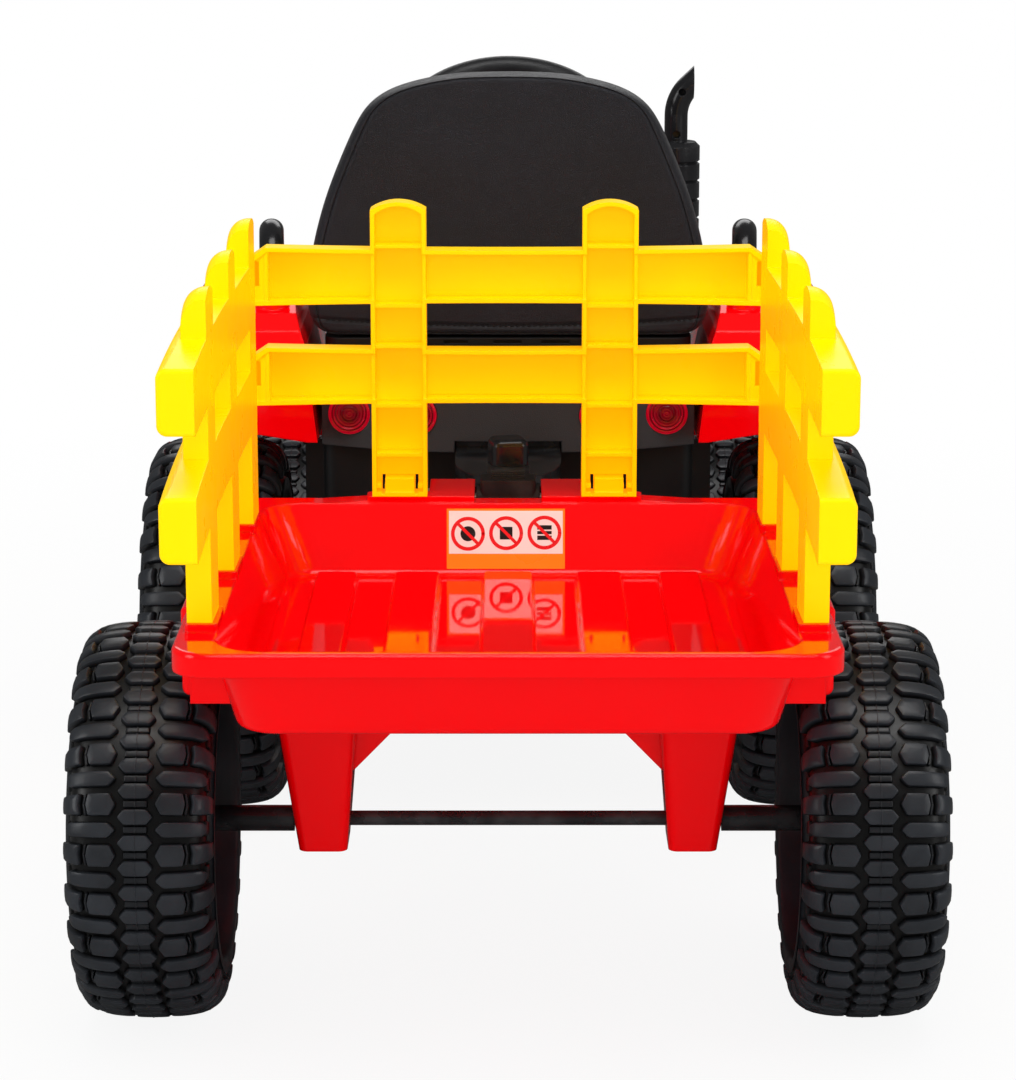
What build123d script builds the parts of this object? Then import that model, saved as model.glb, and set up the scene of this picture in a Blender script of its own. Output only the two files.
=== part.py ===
from build123d import *
import math
import os
from collections import namedtuple

# ---------------------------------------------------------------------------
# Ride-on toy tractor with a fenced trailer.
# Frame: millimetres, +Z up, +Y forward, ground at Z = 0, tractor rear axle
# above Y = 0.  Right-hand pieces have X > 0 and are mirrored to the left.
#
# Name endings: _X half width, _X0/_X1 inner and outer face, _Y0/_Y1 rear and
# front face, _Z0/_Z1 bottom and top, _R radius.
# ---------------------------------------------------------------------------

os.makedirs("parts", exist_ok=True)

RUN = 0.05                     # radial running clearance

# inner, outer: tyre faces along X; y: axle position; axle: axle radius;
# hub_inner: inner end of the hub tube.  The axle height is the wheel radius.
Wheel = namedtuple("Wheel", "inner outer radius y axle hub_inner")
REAR = Wheel(inner=172.0, outer=276.5, radius=145.0, y=0.0, axle=6.0, hub_inner=184.5)
FRONT = Wheel(inner=160.0, outer=235.0, radius=105.0, y=490.0, axle=5.0, hub_inner=166.0)
TRAILER = Wheel(inner=180.5, outer=273.5, radius=128.0, y=-451.0, axle=4.75, hub_inner=191.1)

# chassis
WALL = 4.0
BODY_X, BODY_Y0, BODY_Y1 = 140.0, -61.0, 165.0
BODY_Z0, BODY_TOP = 100.0, 364.0
REAR_FACE = BODY_Y0 - 0.2      # front face of what is fixed to the rear wall
FOOT_X, FOOT_Y1, FOOT_T = 165.0, 345.0, 12.0
FOOT_Z0 = BODY_Z0
FOOT_Z1 = FOOT_Z0 + FOOT_T
NOSE_X, NOSE_Y0, NOSE_Y1, NOSE_Z1 = 85.0, 300.0, 640.0, 230.0
TRAY_Z = 190.0                 # top of the battery tray
HITCH_BOLTS = ((-30, 262), (30, 262), (-30, 240), (30, 240))    # x, z
BUMPER_SCREWS = ((-50, 200), (50, 200))                         # x, z

# gearboxes and motors
GEARBOX_X0, GEARBOX_X1 = 143.0, 178.0
GEARBOX_Y0, GEARBOX_Y1, GEARBOX_Z0, GEARBOX_Z1 = -40.0, 55.0, 100.0, 190.0
GEARBOX_WALL = 3.0
MOTOR_Y, MOTOR_Z, MOTOR_R = 32.0, 158.0, 17.5
GEAR_HUB_R = 13.95

# front axle and steering
BEAM_Z0, BEAM_Z1 = 116.0, 136.0
KING_X, KING_R, KING_TOP = 140.0, 5.0, 140.0    # KING_X: centre of the kingpin
ARM = 37.5                     # steering arm, behind the kingpin
TIE_Y = FRONT.y - ARM
TIE_Z0, TIE_Z1 = 145.1, 150.0
BALL_Y, BALL_Z, BALL_R = 535.0, 147.5, 4.6
WHEEL_CENTRE = (0.0, 300.0, 488.0)              # steering wheel centre
COLUMN_DIR = (0.0, 0.6216, -0.7833)             # down the steering column
SHAFT_R = 6.0
CRANK_AT, CRANK_LENGTH = 412.8, 27.6
GRIP_RING_R, GRIP_TUBE_R = 92.5, 9.0            # steering wheel rim
HORN_R = 17.0
PEDAL_X, PEDAL_Y, PEDAL_Z, PEDAL_PIN_R = 132.0, 255.0, 118.0, 3.0   # centre of the hinge

# seat
SEAT_Z = 378.0
SEAT_BACK_Y0, SEAT_BACK_Y1 = -60.0, -8.0

# hood and dashboard
HOOD_X, DASH_X = 97.0, 100.0
DASH_Y0, DASH_Y1, DASH_TOP = 300.0, 372.0, 458.0

# hitch
HITCH_Y = -151.0
PIN_R = 7.0
FORK_Y, FORK_Z, FORK_R = -203.0, 286.0, 4.0
SHELF_Z0, SHELF_Z1 = 288.0, 296.5
TONGUE_Z1 = 300.9              # top of the drawbar, which lies on the shelf

# trailer tub
RIM_X, RIM_Y0, RIM_Y1, RIM_TOP, RIM_T = 194.5, -665.0, -236.0, 294.0, 14.0
RIM_BOTTOM = RIM_TOP - RIM_T
TUB_FLOOR, TUB_BOTTOM = 245.0, 241.5
ARCH_R, ARCH_Y, ARCH_X = 149.0, 100.0, 198.6    # ARCH_Y: half length

# fences
POST_YS = (-326.0, -459.0, -592.0)
POST_TOPS = (501.0, 498.0, 495.0)
POST_W, POST_X0, POST_X1 = 38.0, 173.5, 188.5
POST_Z0, POST_Z1 = 299.0, 495.0
FRONT_POST_XS = (-75.0, 70.0)
FRONT_FENCE_Y0, FRONT_FENCE_Y1, FRONT_FENCE_X = -258.0, -238.0, 178.0
TOE, TOE_Y = 0.8, -620.0       # side fences close in towards the front, degrees


# ---------------------------------------------------------------------------
# Helpers
# ---------------------------------------------------------------------------

def save(part, name):
    part.label = name
    export_step(part, f"parts/{name}.step")


def save_pair(part, name):
    """Save a right-hand part and its mirrored left-hand twin."""
    save(part, f"{name}_right")
    with BuildPart() as twin:
        mirror(part, about=Plane.YZ)
    save(twin.part, f"{name}_left")


def rear_facing(y, z=0, x=0):
    """Plane whose local axes are X and Z and whose normal points to -Y."""
    return Plane(origin=(x, y, z), x_dir=(1, 0, 0), z_dir=(0, -1, 0))


def side_facing(x, y, z, side=1):
    """Plane whose local x is +Y and whose normal points to +X or -X."""
    return Plane(origin=(x, y, z), x_dir=(0, 1, 0), z_dir=(side, 0, 0))


def along_x(x, y, z, side=1):
    """Plane for a round or hexagonal shape whose axis is +X or -X."""
    return Plane(origin=(x, y, z), z_dir=(side, 0, 0))


def along_y(x, y, z):
    """Plane for a round shape whose axis is +Y."""
    return Plane(origin=(x, y, z), z_dir=(0, 1, 0))


def toe(y):
    """Inward offset of the side fence at y."""
    return (y - TOE_Y) * math.tan(math.radians(TOE))


def on_column(down, crank=0.0):
    """Point at a distance down the steering column and out along the crank."""
    return (0.0, WHEEL_CENTRE[1] + COLUMN_DIR[1] * down + COLUMN_DIR[2] * crank,
            WHEEL_CENTRE[2] + COLUMN_DIR[2] * down - COLUMN_DIR[1] * crank)


# ---------------------------------------------------------------------------
# Wheels: hollow tyre with an open inner dish, plus a hub cap
# ---------------------------------------------------------------------------

def make_tyre(wheel):
    inner, outer, radius = wheel.inner, wheel.outer, wheel.radius
    middle = (inner + outer) / 2
    dish, rim = 0.72 * radius, 0.66 * radius
    bore = wheel.axle + RUN
    with BuildPart() as tyre:
        with BuildSketch(rear_facing(wheel.y, radius)):
            with BuildLine():
                Polyline((inner, dish), (inner, radius - 20), (inner + 7, radius - 7),
                         (inner + 18, radius - 1.5), (middle, radius),
                         (outer - 18, radius - 1.5), (outer - 7, radius - 7),
                         (outer, radius - 20), (outer, rim), (outer - 14, rim - 2),
                         (outer - 14, bore), (wheel.hub_inner, bore), (wheel.hub_inner, 16),
                         (outer - 19, 16), (outer - 19, dish - 12), close=True)
            make_face()
            # air space
            with BuildLine():
                Polyline((inner + 4, dish + 4.5), (inner + 4, radius - 22),
                         (inner + 10, radius - 12), (inner + 20, radius - 7),
                         (middle, radius - 5.5), (outer - 20, radius - 7),
                         (outer - 10, radius - 12), (outer - 4, radius - 22),
                         (outer - 4, rim + 4.5), (outer - 20, rim + 4.2), close=True)
            make_face(mode=Mode.SUBTRACT)
        revolve(axis=Axis((0, wheel.y, radius), (1, 0, 0)))
    return tyre.part


def make_hub(wheel):
    """Hub cap with six round holes in its web."""
    outer, rim = wheel.outer, 0.66 * wheel.radius
    web_inner, web_outer = 30, rim - 14
    with BuildPart() as hub:
        with BuildSketch(rear_facing(wheel.y, wheel.radius)):
            with BuildLine():
                Polyline((outer - 13.9, 15), (outer - 13.9, rim - 2.5), (outer - 1, rim - 0.8),
                         (outer - 1, rim - 6), (outer - 9, web_outer), (outer - 9, web_inner),
                         (outer - 4, 26), (outer - 1, 19), (outer - 1, 0), (outer - 3.4, 0),
                         (outer - 3.4, 15), close=True)
            make_face()
        revolve(axis=Axis((0, wheel.y, wheel.radius), (1, 0, 0)))
        with Locations(side_facing(outer - 11, wheel.y, wheel.radius)):
            with PolarLocations((web_inner + web_outer) / 2, 6):
                Cylinder((web_outer - web_inner) / 2 - 3.5, 20, mode=Mode.SUBTRACT)
    return hub.part


def make_axle(wheel):
    with BuildPart() as axle:
        with Locations(along_x(0, wheel.y, wheel.radius)):
            Cylinder(wheel.axle, 2 * (wheel.outer - 5.0))
        chamfer(axle.edges().filter_by(GeomType.CIRCLE), 1.0)
    return axle.part


def make_axle_nuts(wheel, corner_radius, thickness):
    with BuildPart() as nuts:
        for side in (-1, 1):
            with BuildSketch(along_x(side * (wheel.outer - 13.9), wheel.y, wheel.radius, side)):
                RegularPolygon(corner_radius, 6)
                Circle(wheel.axle, mode=Mode.SUBTRACT)
            extrude(amount=thickness)
    return nuts.part


for name, wheel in (("rear", REAR), ("front", FRONT), ("trailer", TRAILER)):
    save_pair(make_tyre(wheel), f"{name}_tyre")
    save_pair(make_hub(wheel), f"{name}_hub")

save(make_axle(REAR), "rear_axle")
save(make_axle_nuts(REAR, corner_radius=10.4, thickness=8.0), "rear_axle_nuts")
save(make_axle(TRAILER), "trailer_axle")
save(make_axle_nuts(TRAILER, corner_radius=9.2, thickness=7.0), "trailer_axle_nuts")

# ---------------------------------------------------------------------------
# Gearboxes, output gears and motors
# ---------------------------------------------------------------------------

GEARBOX_CENTRE = ((GEARBOX_Y0 + GEARBOX_Y1) / 2, (GEARBOX_Z0 + GEARBOX_Z1) / 2)
GEARBOX_LENGTH, GEARBOX_HEIGHT = GEARBOX_Y1 - GEARBOX_Y0, GEARBOX_Z1 - GEARBOX_Z0
GEARBOX_MID_X, GEARBOX_T = (GEARBOX_X0 + GEARBOX_X1) / 2, GEARBOX_X1 - GEARBOX_X0
with BuildPart() as gearboxes:
    with BuildSketch(Plane.YZ.offset(GEARBOX_X0)):
        with Locations(GEARBOX_CENTRE):
            RectangleRounded(GEARBOX_LENGTH, GEARBOX_HEIGHT, 14)
    extrude(amount=GEARBOX_T)
    with BuildSketch(Plane.YZ.offset(GEARBOX_X0 + GEARBOX_WALL)):
        with Locations(GEARBOX_CENTRE):
            RectangleRounded(GEARBOX_LENGTH - 2 * GEARBOX_WALL,
                             GEARBOX_HEIGHT - 2 * GEARBOX_WALL, 11)
    extrude(amount=GEARBOX_T - 2 * GEARBOX_WALL, mode=Mode.SUBTRACT)
    # axle bore in the inner wall, gear hub hole in the outer one
    with Locations(along_x(GEARBOX_X0 + GEARBOX_WALL / 2, REAR.y, REAR.radius)):
        Cylinder(12, GEARBOX_WALL)
        Cylinder(REAR.axle + RUN, GEARBOX_WALL, mode=Mode.SUBTRACT)
    with Locations(along_x(GEARBOX_X1 - GEARBOX_WALL / 2, REAR.y, REAR.radius)):
        Cylinder(GEAR_HUB_R + 0.1, GEARBOX_WALL, mode=Mode.SUBTRACT)
    # motor shaft hole
    with Locations(along_x(GEARBOX_X0 + GEARBOX_WALL / 2, MOTOR_Y, MOTOR_Z)):
        Cylinder(4.0, GEARBOX_WALL, mode=Mode.SUBTRACT)
    # screw lugs on the front face
    with Locations(along_x(GEARBOX_MID_X, GEARBOX_Y1 + 4.0, GEARBOX_Z1 - 30),
                   along_x(GEARBOX_MID_X, GEARBOX_Y1 + 4.0, GEARBOX_Z0 + 30)):
        Cylinder(5.5, GEARBOX_T)
        Cylinder(2.1, GEARBOX_T, mode=Mode.SUBTRACT)
    mirror(about=Plane.YZ)
save(gearboxes.part, "gearboxes")

GEAR_X, GEAR_HUB_X0 = 160, 150
with BuildPart() as drive_gear:
    with BuildSketch(side_facing(GEAR_X, REAR.y, REAR.radius)):
        Circle(28)
        with PolarLocations(28.8, 36):
            Trapezoid(3.6, 3.2, 72, rotation=-90)
        Circle(REAR.axle + RUN, mode=Mode.SUBTRACT)
        with PolarLocations(19, 6):
            Circle(4, mode=Mode.SUBTRACT)
    extrude(amount=10)
    with BuildSketch(side_facing(GEAR_HUB_X0, REAR.y, REAR.radius)):
        Circle(GEAR_HUB_R)
        Circle(REAR.axle + RUN, mode=Mode.SUBTRACT)
    extrude(amount=REAR.hub_inner - 0.05 - GEAR_HUB_X0)
save_pair(drive_gear.part, "drive_gear")

# distance inboard of the gearbox, radius, length, direction along X
MOTOR_STAGES = (
    (0.1, MOTOR_R, 50, -1),        # can
    (50.1, MOTOR_R - 3, 5, -1),    # end cap
    (55.1, 5, 3, -1),              # end boss
    (0.1, 1.6, 8, 1),              # shaft
)
with BuildPart() as drive_motors:
    for inboard, radius, length, direction in MOTOR_STAGES:
        with BuildSketch(side_facing(GEARBOX_X0 - inboard, MOTOR_Y, MOTOR_Z, direction)):
            Circle(radius)
        extrude(amount=length)
    mirror(about=Plane.YZ)
save(drive_motors.part, "drive_motors")

# ---------------------------------------------------------------------------
# Chassis: hollow seat box, footboard with grip ribs, hollow nose
# ---------------------------------------------------------------------------

BODY_MID_Y, BODY_LENGTH = (BODY_Y0 + BODY_Y1) / 2, BODY_Y1 - BODY_Y0
with BuildPart() as chassis:
    # seat box
    with BuildSketch(Plane.XY.offset(BODY_Z0)):
        with Locations((0, BODY_MID_Y)):
            RectangleRounded(2 * BODY_X, BODY_LENGTH, 10)
    extrude(amount=BODY_TOP - BODY_Z0)
    # footboard
    with BuildSketch(Plane.XY.offset(FOOT_Z0)):
        with Locations((0, (100 + FOOT_Y1) / 2)):
            RectangleRounded(2 * BODY_X, FOOT_Y1 - 100, 6)
        with Locations((0, (192 + FOOT_Y1) / 2)):
            RectangleRounded(2 * FOOT_X, FOOT_Y1 - 192, 12)
    extrude(amount=FOOT_T)
    # nose box
    with BuildSketch(Plane.XY.offset(FOOT_Z1)):
        with Locations((0, (NOSE_Y0 + NOSE_Y1) / 2)):
            RectangleRounded(2 * NOSE_X, NOSE_Y1 - NOSE_Y0, 8)
    extrude(amount=NOSE_Z1 - FOOT_Z1)
    with BuildSketch(Plane.XY.offset(FOOT_Z0)):
        with Locations((0, (NOSE_Y0 + 20 + FOOT_Y1) / 2)):
            Rectangle(2 * NOSE_X, FOOT_Y1 - NOSE_Y0 - 20)
    extrude(amount=FOOT_T)
    # hollow the seat box below and above the battery tray
    for z0, z1 in ((BODY_Z0, TRAY_Z - WALL), (TRAY_Z, BODY_TOP - WALL)):
        with BuildSketch(Plane.XY.offset(z0)):
            with Locations((0, BODY_MID_Y)):
                RectangleRounded(2 * BODY_X - 2 * WALL, BODY_LENGTH - 2 * WALL, 6)
        extrude(amount=z1 - z0, mode=Mode.SUBTRACT)
    # battery opening under the seat
    with BuildSketch(Plane.XY.offset(BODY_TOP - 5)):
        with Locations((0, 25)):
            RectangleRounded(170, 130, 8)
    extrude(amount=6, mode=Mode.SUBTRACT)
    # hollow footboard and nose from below
    with BuildSketch(Plane.XY.offset(FOOT_Z0 - 1)):
        with Locations((0, (200 + FOOT_Y1) / 2 - 2)):
            Rectangle(2 * FOOT_X - 10, FOOT_Y1 - 200 - 6)
    extrude(amount=FOOT_T - 3, mode=Mode.SUBTRACT)
    with BuildSketch(Plane.XY.offset(FOOT_Z0 - 1)):
        with Locations((0, (FOOT_Y1 + 5 + NOSE_Y1 - WALL) / 2)):
            Rectangle(2 * NOSE_X - 2 * WALL, NOSE_Y1 - WALL - FOOT_Y1 - 5)
    extrude(amount=NOSE_Z1 - FOOT_Z0 - 3, mode=Mode.SUBTRACT)
    with BuildSketch(Plane.XY.offset(FOOT_Z1 + WALL)):
        with Locations((0, (NOSE_Y0 + WALL + FOOT_Y1 + 6) / 2)):
            Rectangle(2 * NOSE_X - 2 * WALL, FOOT_Y1 + 6 - NOSE_Y0 - WALL)
    extrude(amount=NOSE_Z1 - FOOT_Z1 - 2 * WALL, mode=Mode.SUBTRACT)
    # footboard stiffening ribs underneath
    for x in (-120, -60, 0, 60, 120):
        with Locations((x, 270, FOOT_Z0 + 4.6)):
            Box(3, 145, 9)
    # flanges beside the rear wall close the gap to the wheels
    for side in (-1, 1):
        with Locations((side * 145.5, BODY_Y0 + 8.5, 206)):
            Box(15, 5, 188)
    # rear axle bosses and bores
    for side in (-1, 1):
        with Locations(along_x(side * (BODY_X - 7), REAR.y, REAR.radius)):
            Cylinder(13, 14)
    with Locations(along_x(0, REAR.y, REAR.radius)):
        Cylinder(REAR.axle + RUN, 2 * BODY_X + 10, mode=Mode.SUBTRACT)
    # motor openings in the side walls
    for side in (-1, 1):
        with Locations(along_x(side * (BODY_X - 6), MOTOR_Y, MOTOR_Z)):
            Cylinder(MOTOR_R + 0.3, 22, mode=Mode.SUBTRACT)
    # front beam seat and tie rod windows
    with Locations((0, FRONT.y, (FOOT_Z0 + BEAM_Z1) / 2)):
        Box(2 * NOSE_X + 10, 20.4, BEAM_Z1 - FOOT_Z0 + 0.2, mode=Mode.SUBTRACT)
    with Locations((0, TIE_Y, 148)):
        Box(2 * NOSE_X + 10, 34, 18, mode=Mode.SUBTRACT)
    # steering column slot in the nose top
    with Locations(Plane(origin=on_column(329), z_dir=COLUMN_DIR)):
        Cylinder(12, 60, mode=Mode.SUBTRACT)
    # grip ribs on the footboard
    with Locations((0, 240, FOOT_Z1 + 0.75)):
        with GridLocations(0, 14, 1, 7):
            Box(286, 4, 1.5)
    # pedal hinge ears
    with Locations((PEDAL_X - 25, PEDAL_Y, FOOT_Z1 + 5.5),
                   (PEDAL_X + 25, PEDAL_Y, FOOT_Z1 + 5.5)):
        Box(3.8, 12, 13)
    with Locations(along_x(PEDAL_X, PEDAL_Y, PEDAL_Z)):
        Cylinder(PEDAL_PIN_R + RUN, 60, mode=Mode.SUBTRACT)
    # hitch fixing holes in the rear wall
    with Locations(*[along_y(x, BODY_Y0 + 2, z) for x, z in HITCH_BOLTS]):
        Cylinder(3.1, 20, mode=Mode.SUBTRACT)
    # bumper screw holes in the nose front wall
    with Locations(*[along_y(x, NOSE_Y1 - 2, z) for x, z in BUMPER_SCREWS]):
        Cylinder(2.1, 20, mode=Mode.SUBTRACT)
save(chassis.part, "chassis")

BATTERY_Y, BATTERY_HEIGHT = 17, 60
with BuildPart() as battery:
    with BuildSketch(Plane.XY.offset(TRAY_Z + 0.1)):
        with Locations((0, BATTERY_Y)):
            Rectangle(151, 94)
    extrude(amount=BATTERY_HEIGHT)
    with BuildSketch(Plane.XY.offset(TRAY_Z + 0.1 + BATTERY_HEIGHT)):
        with Locations((0, BATTERY_Y)):
            Rectangle(147, 90)
    extrude(amount=5)
    # terminals
    with Locations((-60, BATTERY_Y + 31, TRAY_Z + 68), (-60, BATTERY_Y - 31, TRAY_Z + 68)):
        Box(6.3, 0.8, 6)
save(battery.part, "battery")

CONTROL_Y = 122
with BuildPart() as control_box:
    with BuildSketch(Plane.XY.offset(TRAY_Z + 0.1)):
        with Locations((50, CONTROL_Y)):
            RectangleRounded(70, 45, 3)
    extrude(amount=20)
    with BuildSketch(Plane.XY.offset(TRAY_Z + 6)):
        with Locations((8, CONTROL_Y)):
            Rectangle(14.2, 34)
    extrude(amount=9)
save(control_box.part, "control_box")

# ---------------------------------------------------------------------------
# Rear cover and tail lights
# ---------------------------------------------------------------------------

COVER_X, COVER_END_Y, COVER_BULGE = 140.0, -62.0, -78.0
COVER_Z0, COVER_Z1 = 298.0, 372.0
LIGHT_Z, LIGHT_R = 322, 15.7
LIGHTS = ((-119.0, -67.0), (-69.0, -74.7), (69.0, -74.7), (119.0, -67.0))    # x, y
with BuildPart() as rear_cover:
    with BuildSketch(Plane.XY.offset(COVER_Z0 - 4)):
        with BuildLine():
            ThreePointArc((-COVER_X, COVER_END_Y), (0, COVER_BULGE), (COVER_X, COVER_END_Y))
            Polyline((COVER_X, COVER_END_Y), (COVER_X, REAR_FACE), (-COVER_X, REAR_FACE),
                     (-COVER_X, COVER_END_Y))
        make_face()
    extrude(amount=COVER_Z1 - COVER_Z0 + 4)
    # lower edge dips towards the centre
    with BuildSketch(rear_facing(-55)):
        with BuildLine():
            Polyline((-150, COVER_Z0), (-150, 280), (150, 280), (150, COVER_Z0))
            ThreePointArc((150, COVER_Z0), (0, COVER_Z0 - 5), (-150, COVER_Z0))
        make_face()
    extrude(amount=30, mode=Mode.SUBTRACT)
    # hollow behind the bulge
    with BuildSketch(Plane.XY.offset(COVER_Z0 + 8)):
        with BuildLine():
            ThreePointArc((-132, REAR_FACE), (0, COVER_BULGE + 4), (132, REAR_FACE))
            Line((132, REAR_FACE), (-132, REAR_FACE))
        make_face()
    extrude(amount=COVER_Z1 - COVER_Z0 - 12, mode=Mode.SUBTRACT)
    # opening over the tow hitch
    with Locations((0, -70, 292)):
        Box(80.4, 30, 21, mode=Mode.SUBTRACT)
    for x, _ in LIGHTS:
        with Locations(along_y(x, -70, LIGHT_Z)):
            Cylinder(LIGHT_R + 0.1, 30, mode=Mode.SUBTRACT)
save(rear_cover.part, "rear_cover")

with BuildPart() as tail_light_lenses:
    for x, y in LIGHTS:
        with BuildSketch(rear_facing(-61.3)):
            with Locations((x, LIGHT_Z)):
                Circle(LIGHT_R)
        extrude(amount=-61.3 - y + 1.8)
        # raised ring and centre disc
        with BuildSketch(rear_facing(y - 1.8)):
            with Locations((x, LIGHT_Z)):
                Circle(12.6)
                Circle(11.4, mode=Mode.SUBTRACT)
        extrude(amount=0.9)
        with BuildSketch(rear_facing(y - 1.8)):
            with Locations((x, LIGHT_Z)):
                Circle(5.5)
        extrude(amount=0.9)
save(tail_light_lenses.part, "tail_light_lenses")

# ---------------------------------------------------------------------------
# Fenders: a front-view section crossed with a side-view section, shelled
# ---------------------------------------------------------------------------

# section outlines (x, z) and side outlines (y, z)
FENDER_SECTION = [
    (142, 100), (142, 303), (145, 329), (150, 375), (161, 405), (168, 408.4),
    (226, 408.4), (237.5, 401.5), (244, 376), (244, 309), (244, 100),
]
CORE_SECTION = [
    (145.2, 100), (145.2, 303), (148, 329), (153, 375), (164, 402), (169, 405.2),
    (224, 405.2), (235, 399), (240.6, 375), (241, 303), (241, 100),
]
FENDER_SIDE = [
    (-85, 303), (-85, 374), (-79, 386), (-62, 397), (-40, 403), (30, 408), (85, 403),
    (118, 382), (145, 330), (158, 262),
]
CORE_SIDE = [
    (-82, 290), (-82, 373), (-76.6, 383.5), (-60.5, 393.8), (-39.5, 399.8), (30, 404.8),
    (83.8, 400), (115.5, 380), (142, 329), (154.7, 261), (154, 250),
    (150, 240), (-40, 240), (-60, 290),
]
WHEEL_ARCH_R = 160.5
ARCH_TOP = (0, REAR.radius + WHEEL_ARCH_R)
ARCH_FRONT = (math.sqrt(WHEEL_ARCH_R ** 2 - (262 - REAR.radius) ** 2), 262)
GRAB_REAR, GRAB_FRONT = (177, -45), (186, 90)    # feet of the grab handle, x and y

with BuildPart() as fender_core:
    with BuildSketch(rear_facing(190)):
        with BuildLine():
            Polyline(*CORE_SECTION, close=True)
        make_face()
    extrude(amount=280)
    with BuildSketch(Plane.YZ.offset(130)):
        with BuildLine():
            Polyline(*CORE_SIDE, close=True)
        make_face()
    extrude(amount=140, mode=Mode.INTERSECT)

with BuildPart() as fender:
    with BuildSketch(rear_facing(190)):
        with BuildLine():
            Polyline(*FENDER_SECTION, close=True)
        make_face()
    extrude(amount=280)
    with BuildSketch(Plane.YZ.offset(130)):
        with BuildLine():
            Polyline(*FENDER_SIDE)
            Polyline(FENDER_SIDE[-1], ARCH_FRONT)
            RadiusArc(ARCH_FRONT, ARCH_TOP, -WHEEL_ARCH_R)
            Polyline(ARCH_TOP, (-28, 303), FENDER_SIDE[0])
        make_face()
    extrude(amount=140, mode=Mode.INTERSECT)
    add(fender_core.part, mode=Mode.SUBTRACT)
    # rear lip rises outwards
    with BuildSketch(rear_facing(-27)):
        with BuildLine():
            Polyline((146, 302.5), (262, 321.5), (262, 290), (146, 290), close=True)
        make_face()
    extrude(amount=62, mode=Mode.SUBTRACT)
    # sockets for the grab handle
    with Locations((*GRAB_REAR, 399), (*GRAB_FRONT, 396)):
        Cylinder(13.0, 22)
    with Locations((*GRAB_REAR, 388), (*GRAB_FRONT, 385)):
        Cylinder(9.4, 12, mode=Mode.SUBTRACT)
save_pair(fender.part, "fender")

GRAB_DX, GRAB_DY = GRAB_FRONT[0] - GRAB_REAR[0], GRAB_FRONT[1] - GRAB_REAR[1]
GRAB_LENGTH = math.hypot(GRAB_DX, GRAB_DY)
GRAB_PLANE = Plane(origin=(*GRAB_REAR, 0),
                   x_dir=(GRAB_DX / GRAB_LENGTH, GRAB_DY / GRAB_LENGTH, 0),
                   z_dir=(GRAB_DY / GRAB_LENGTH, -GRAB_DX / GRAB_LENGTH, 0))
with BuildPart() as grab_handle:
    with BuildLine(GRAB_PLANE) as grab_path:
        FilletPolyline((0, 410.1), (0, 456.5), (GRAB_LENGTH, 439.5), (GRAB_LENGTH, 407.1),
                       radius=24)
    with BuildSketch(Plane.XY.offset(410.1)):
        with Locations(GRAB_REAR):
            Circle(9.1)
    sweep(path=grab_path.line)
save_pair(grab_handle.part, "grab_handle")

# ---------------------------------------------------------------------------
# Seat
# ---------------------------------------------------------------------------

def seat_plate(bottom, gap):
    """Outline (x, z) of the backrest plate, enlarged by gap."""
    right = [(78 + gap, 535 + gap), (100 + gap, 500 + gap), (100 + gap, bottom)]
    return [(-x, z) for x, z in reversed(right)] + right


with BuildPart() as seat_shell:
    with BuildSketch(Plane.XY.offset(BODY_TOP + 0.1)):
        with Locations((0, 67)):
            RectangleRounded(275, 256, 14)
    extrude(amount=SEAT_Z - BODY_TOP - 0.1)
    with BuildSketch(Plane.XY.offset(BODY_TOP + 0.1)):
        with Locations((0, 70)):
            RectangleRounded(262, 236, 10)
    extrude(amount=9, mode=Mode.SUBTRACT)
    # slots in the rear edge
    for x, width in ((-39, 18), (-0.5, 21), (35.5, 21)):
        with Locations((x, -61, 375)):
            Box(width, 5, 2.2, mode=Mode.SUBTRACT)
    # stiffening plate of the backrest
    with BuildSketch(rear_facing(-30)):
        with BuildLine():
            Polyline(*seat_plate(SEAT_Z, 0), close=True)
        make_face()
    extrude(amount=6)
save(seat_shell.part, "seat_shell")

# right half of the backrest, x and z, from the top centre down
SEAT_BACK = [
    (0, 573), (38, 572), (60.6, 568.5), (93.8, 559), (108.6, 546), (117.7, 526), (127.2, 504),
    (136.7, 480), (144.5, 452), (151.0, 420), (152.9, 403), (151.0, 391), (143.0, SEAT_Z + 0.2),
]
with BuildPart() as seat_back_cushion:
    with BuildSketch(rear_facing(SEAT_BACK_Y1)):
        with BuildLine():
            Polyline(*SEAT_BACK, *[(-x, z) for x, z in reversed(SEAT_BACK[1:])], close=True)
        make_face()
    extrude(amount=SEAT_BACK_Y1 - SEAT_BACK_Y0)
    # pocket for the plate
    with BuildSketch(rear_facing(-29.9)):
        with BuildLine():
            Polyline(*seat_plate(SEAT_Z - 1, 0.1), close=True)
        make_face()
    extrude(amount=6.2, mode=Mode.SUBTRACT)
save(seat_back_cushion.part, "seat_back_cushion")

CUSHION_X = 132
with BuildPart() as seat_cushion:
    with BuildSketch(Plane.YZ.offset(-CUSHION_X)):
        with BuildLine():
            Polyline((-7, SEAT_Z + 0.2), (-7, 428), (60, 424), (150, 432), (180, 424),
                     (190, 404), (190, SEAT_Z + 0.2), close=True)
        make_face()
    extrude(amount=2 * CUSHION_X)
save(seat_cushion.part, "seat_cushion")

# ---------------------------------------------------------------------------
# Hood, dashboard, grille, lamps, bumper, speaker
# ---------------------------------------------------------------------------

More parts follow.
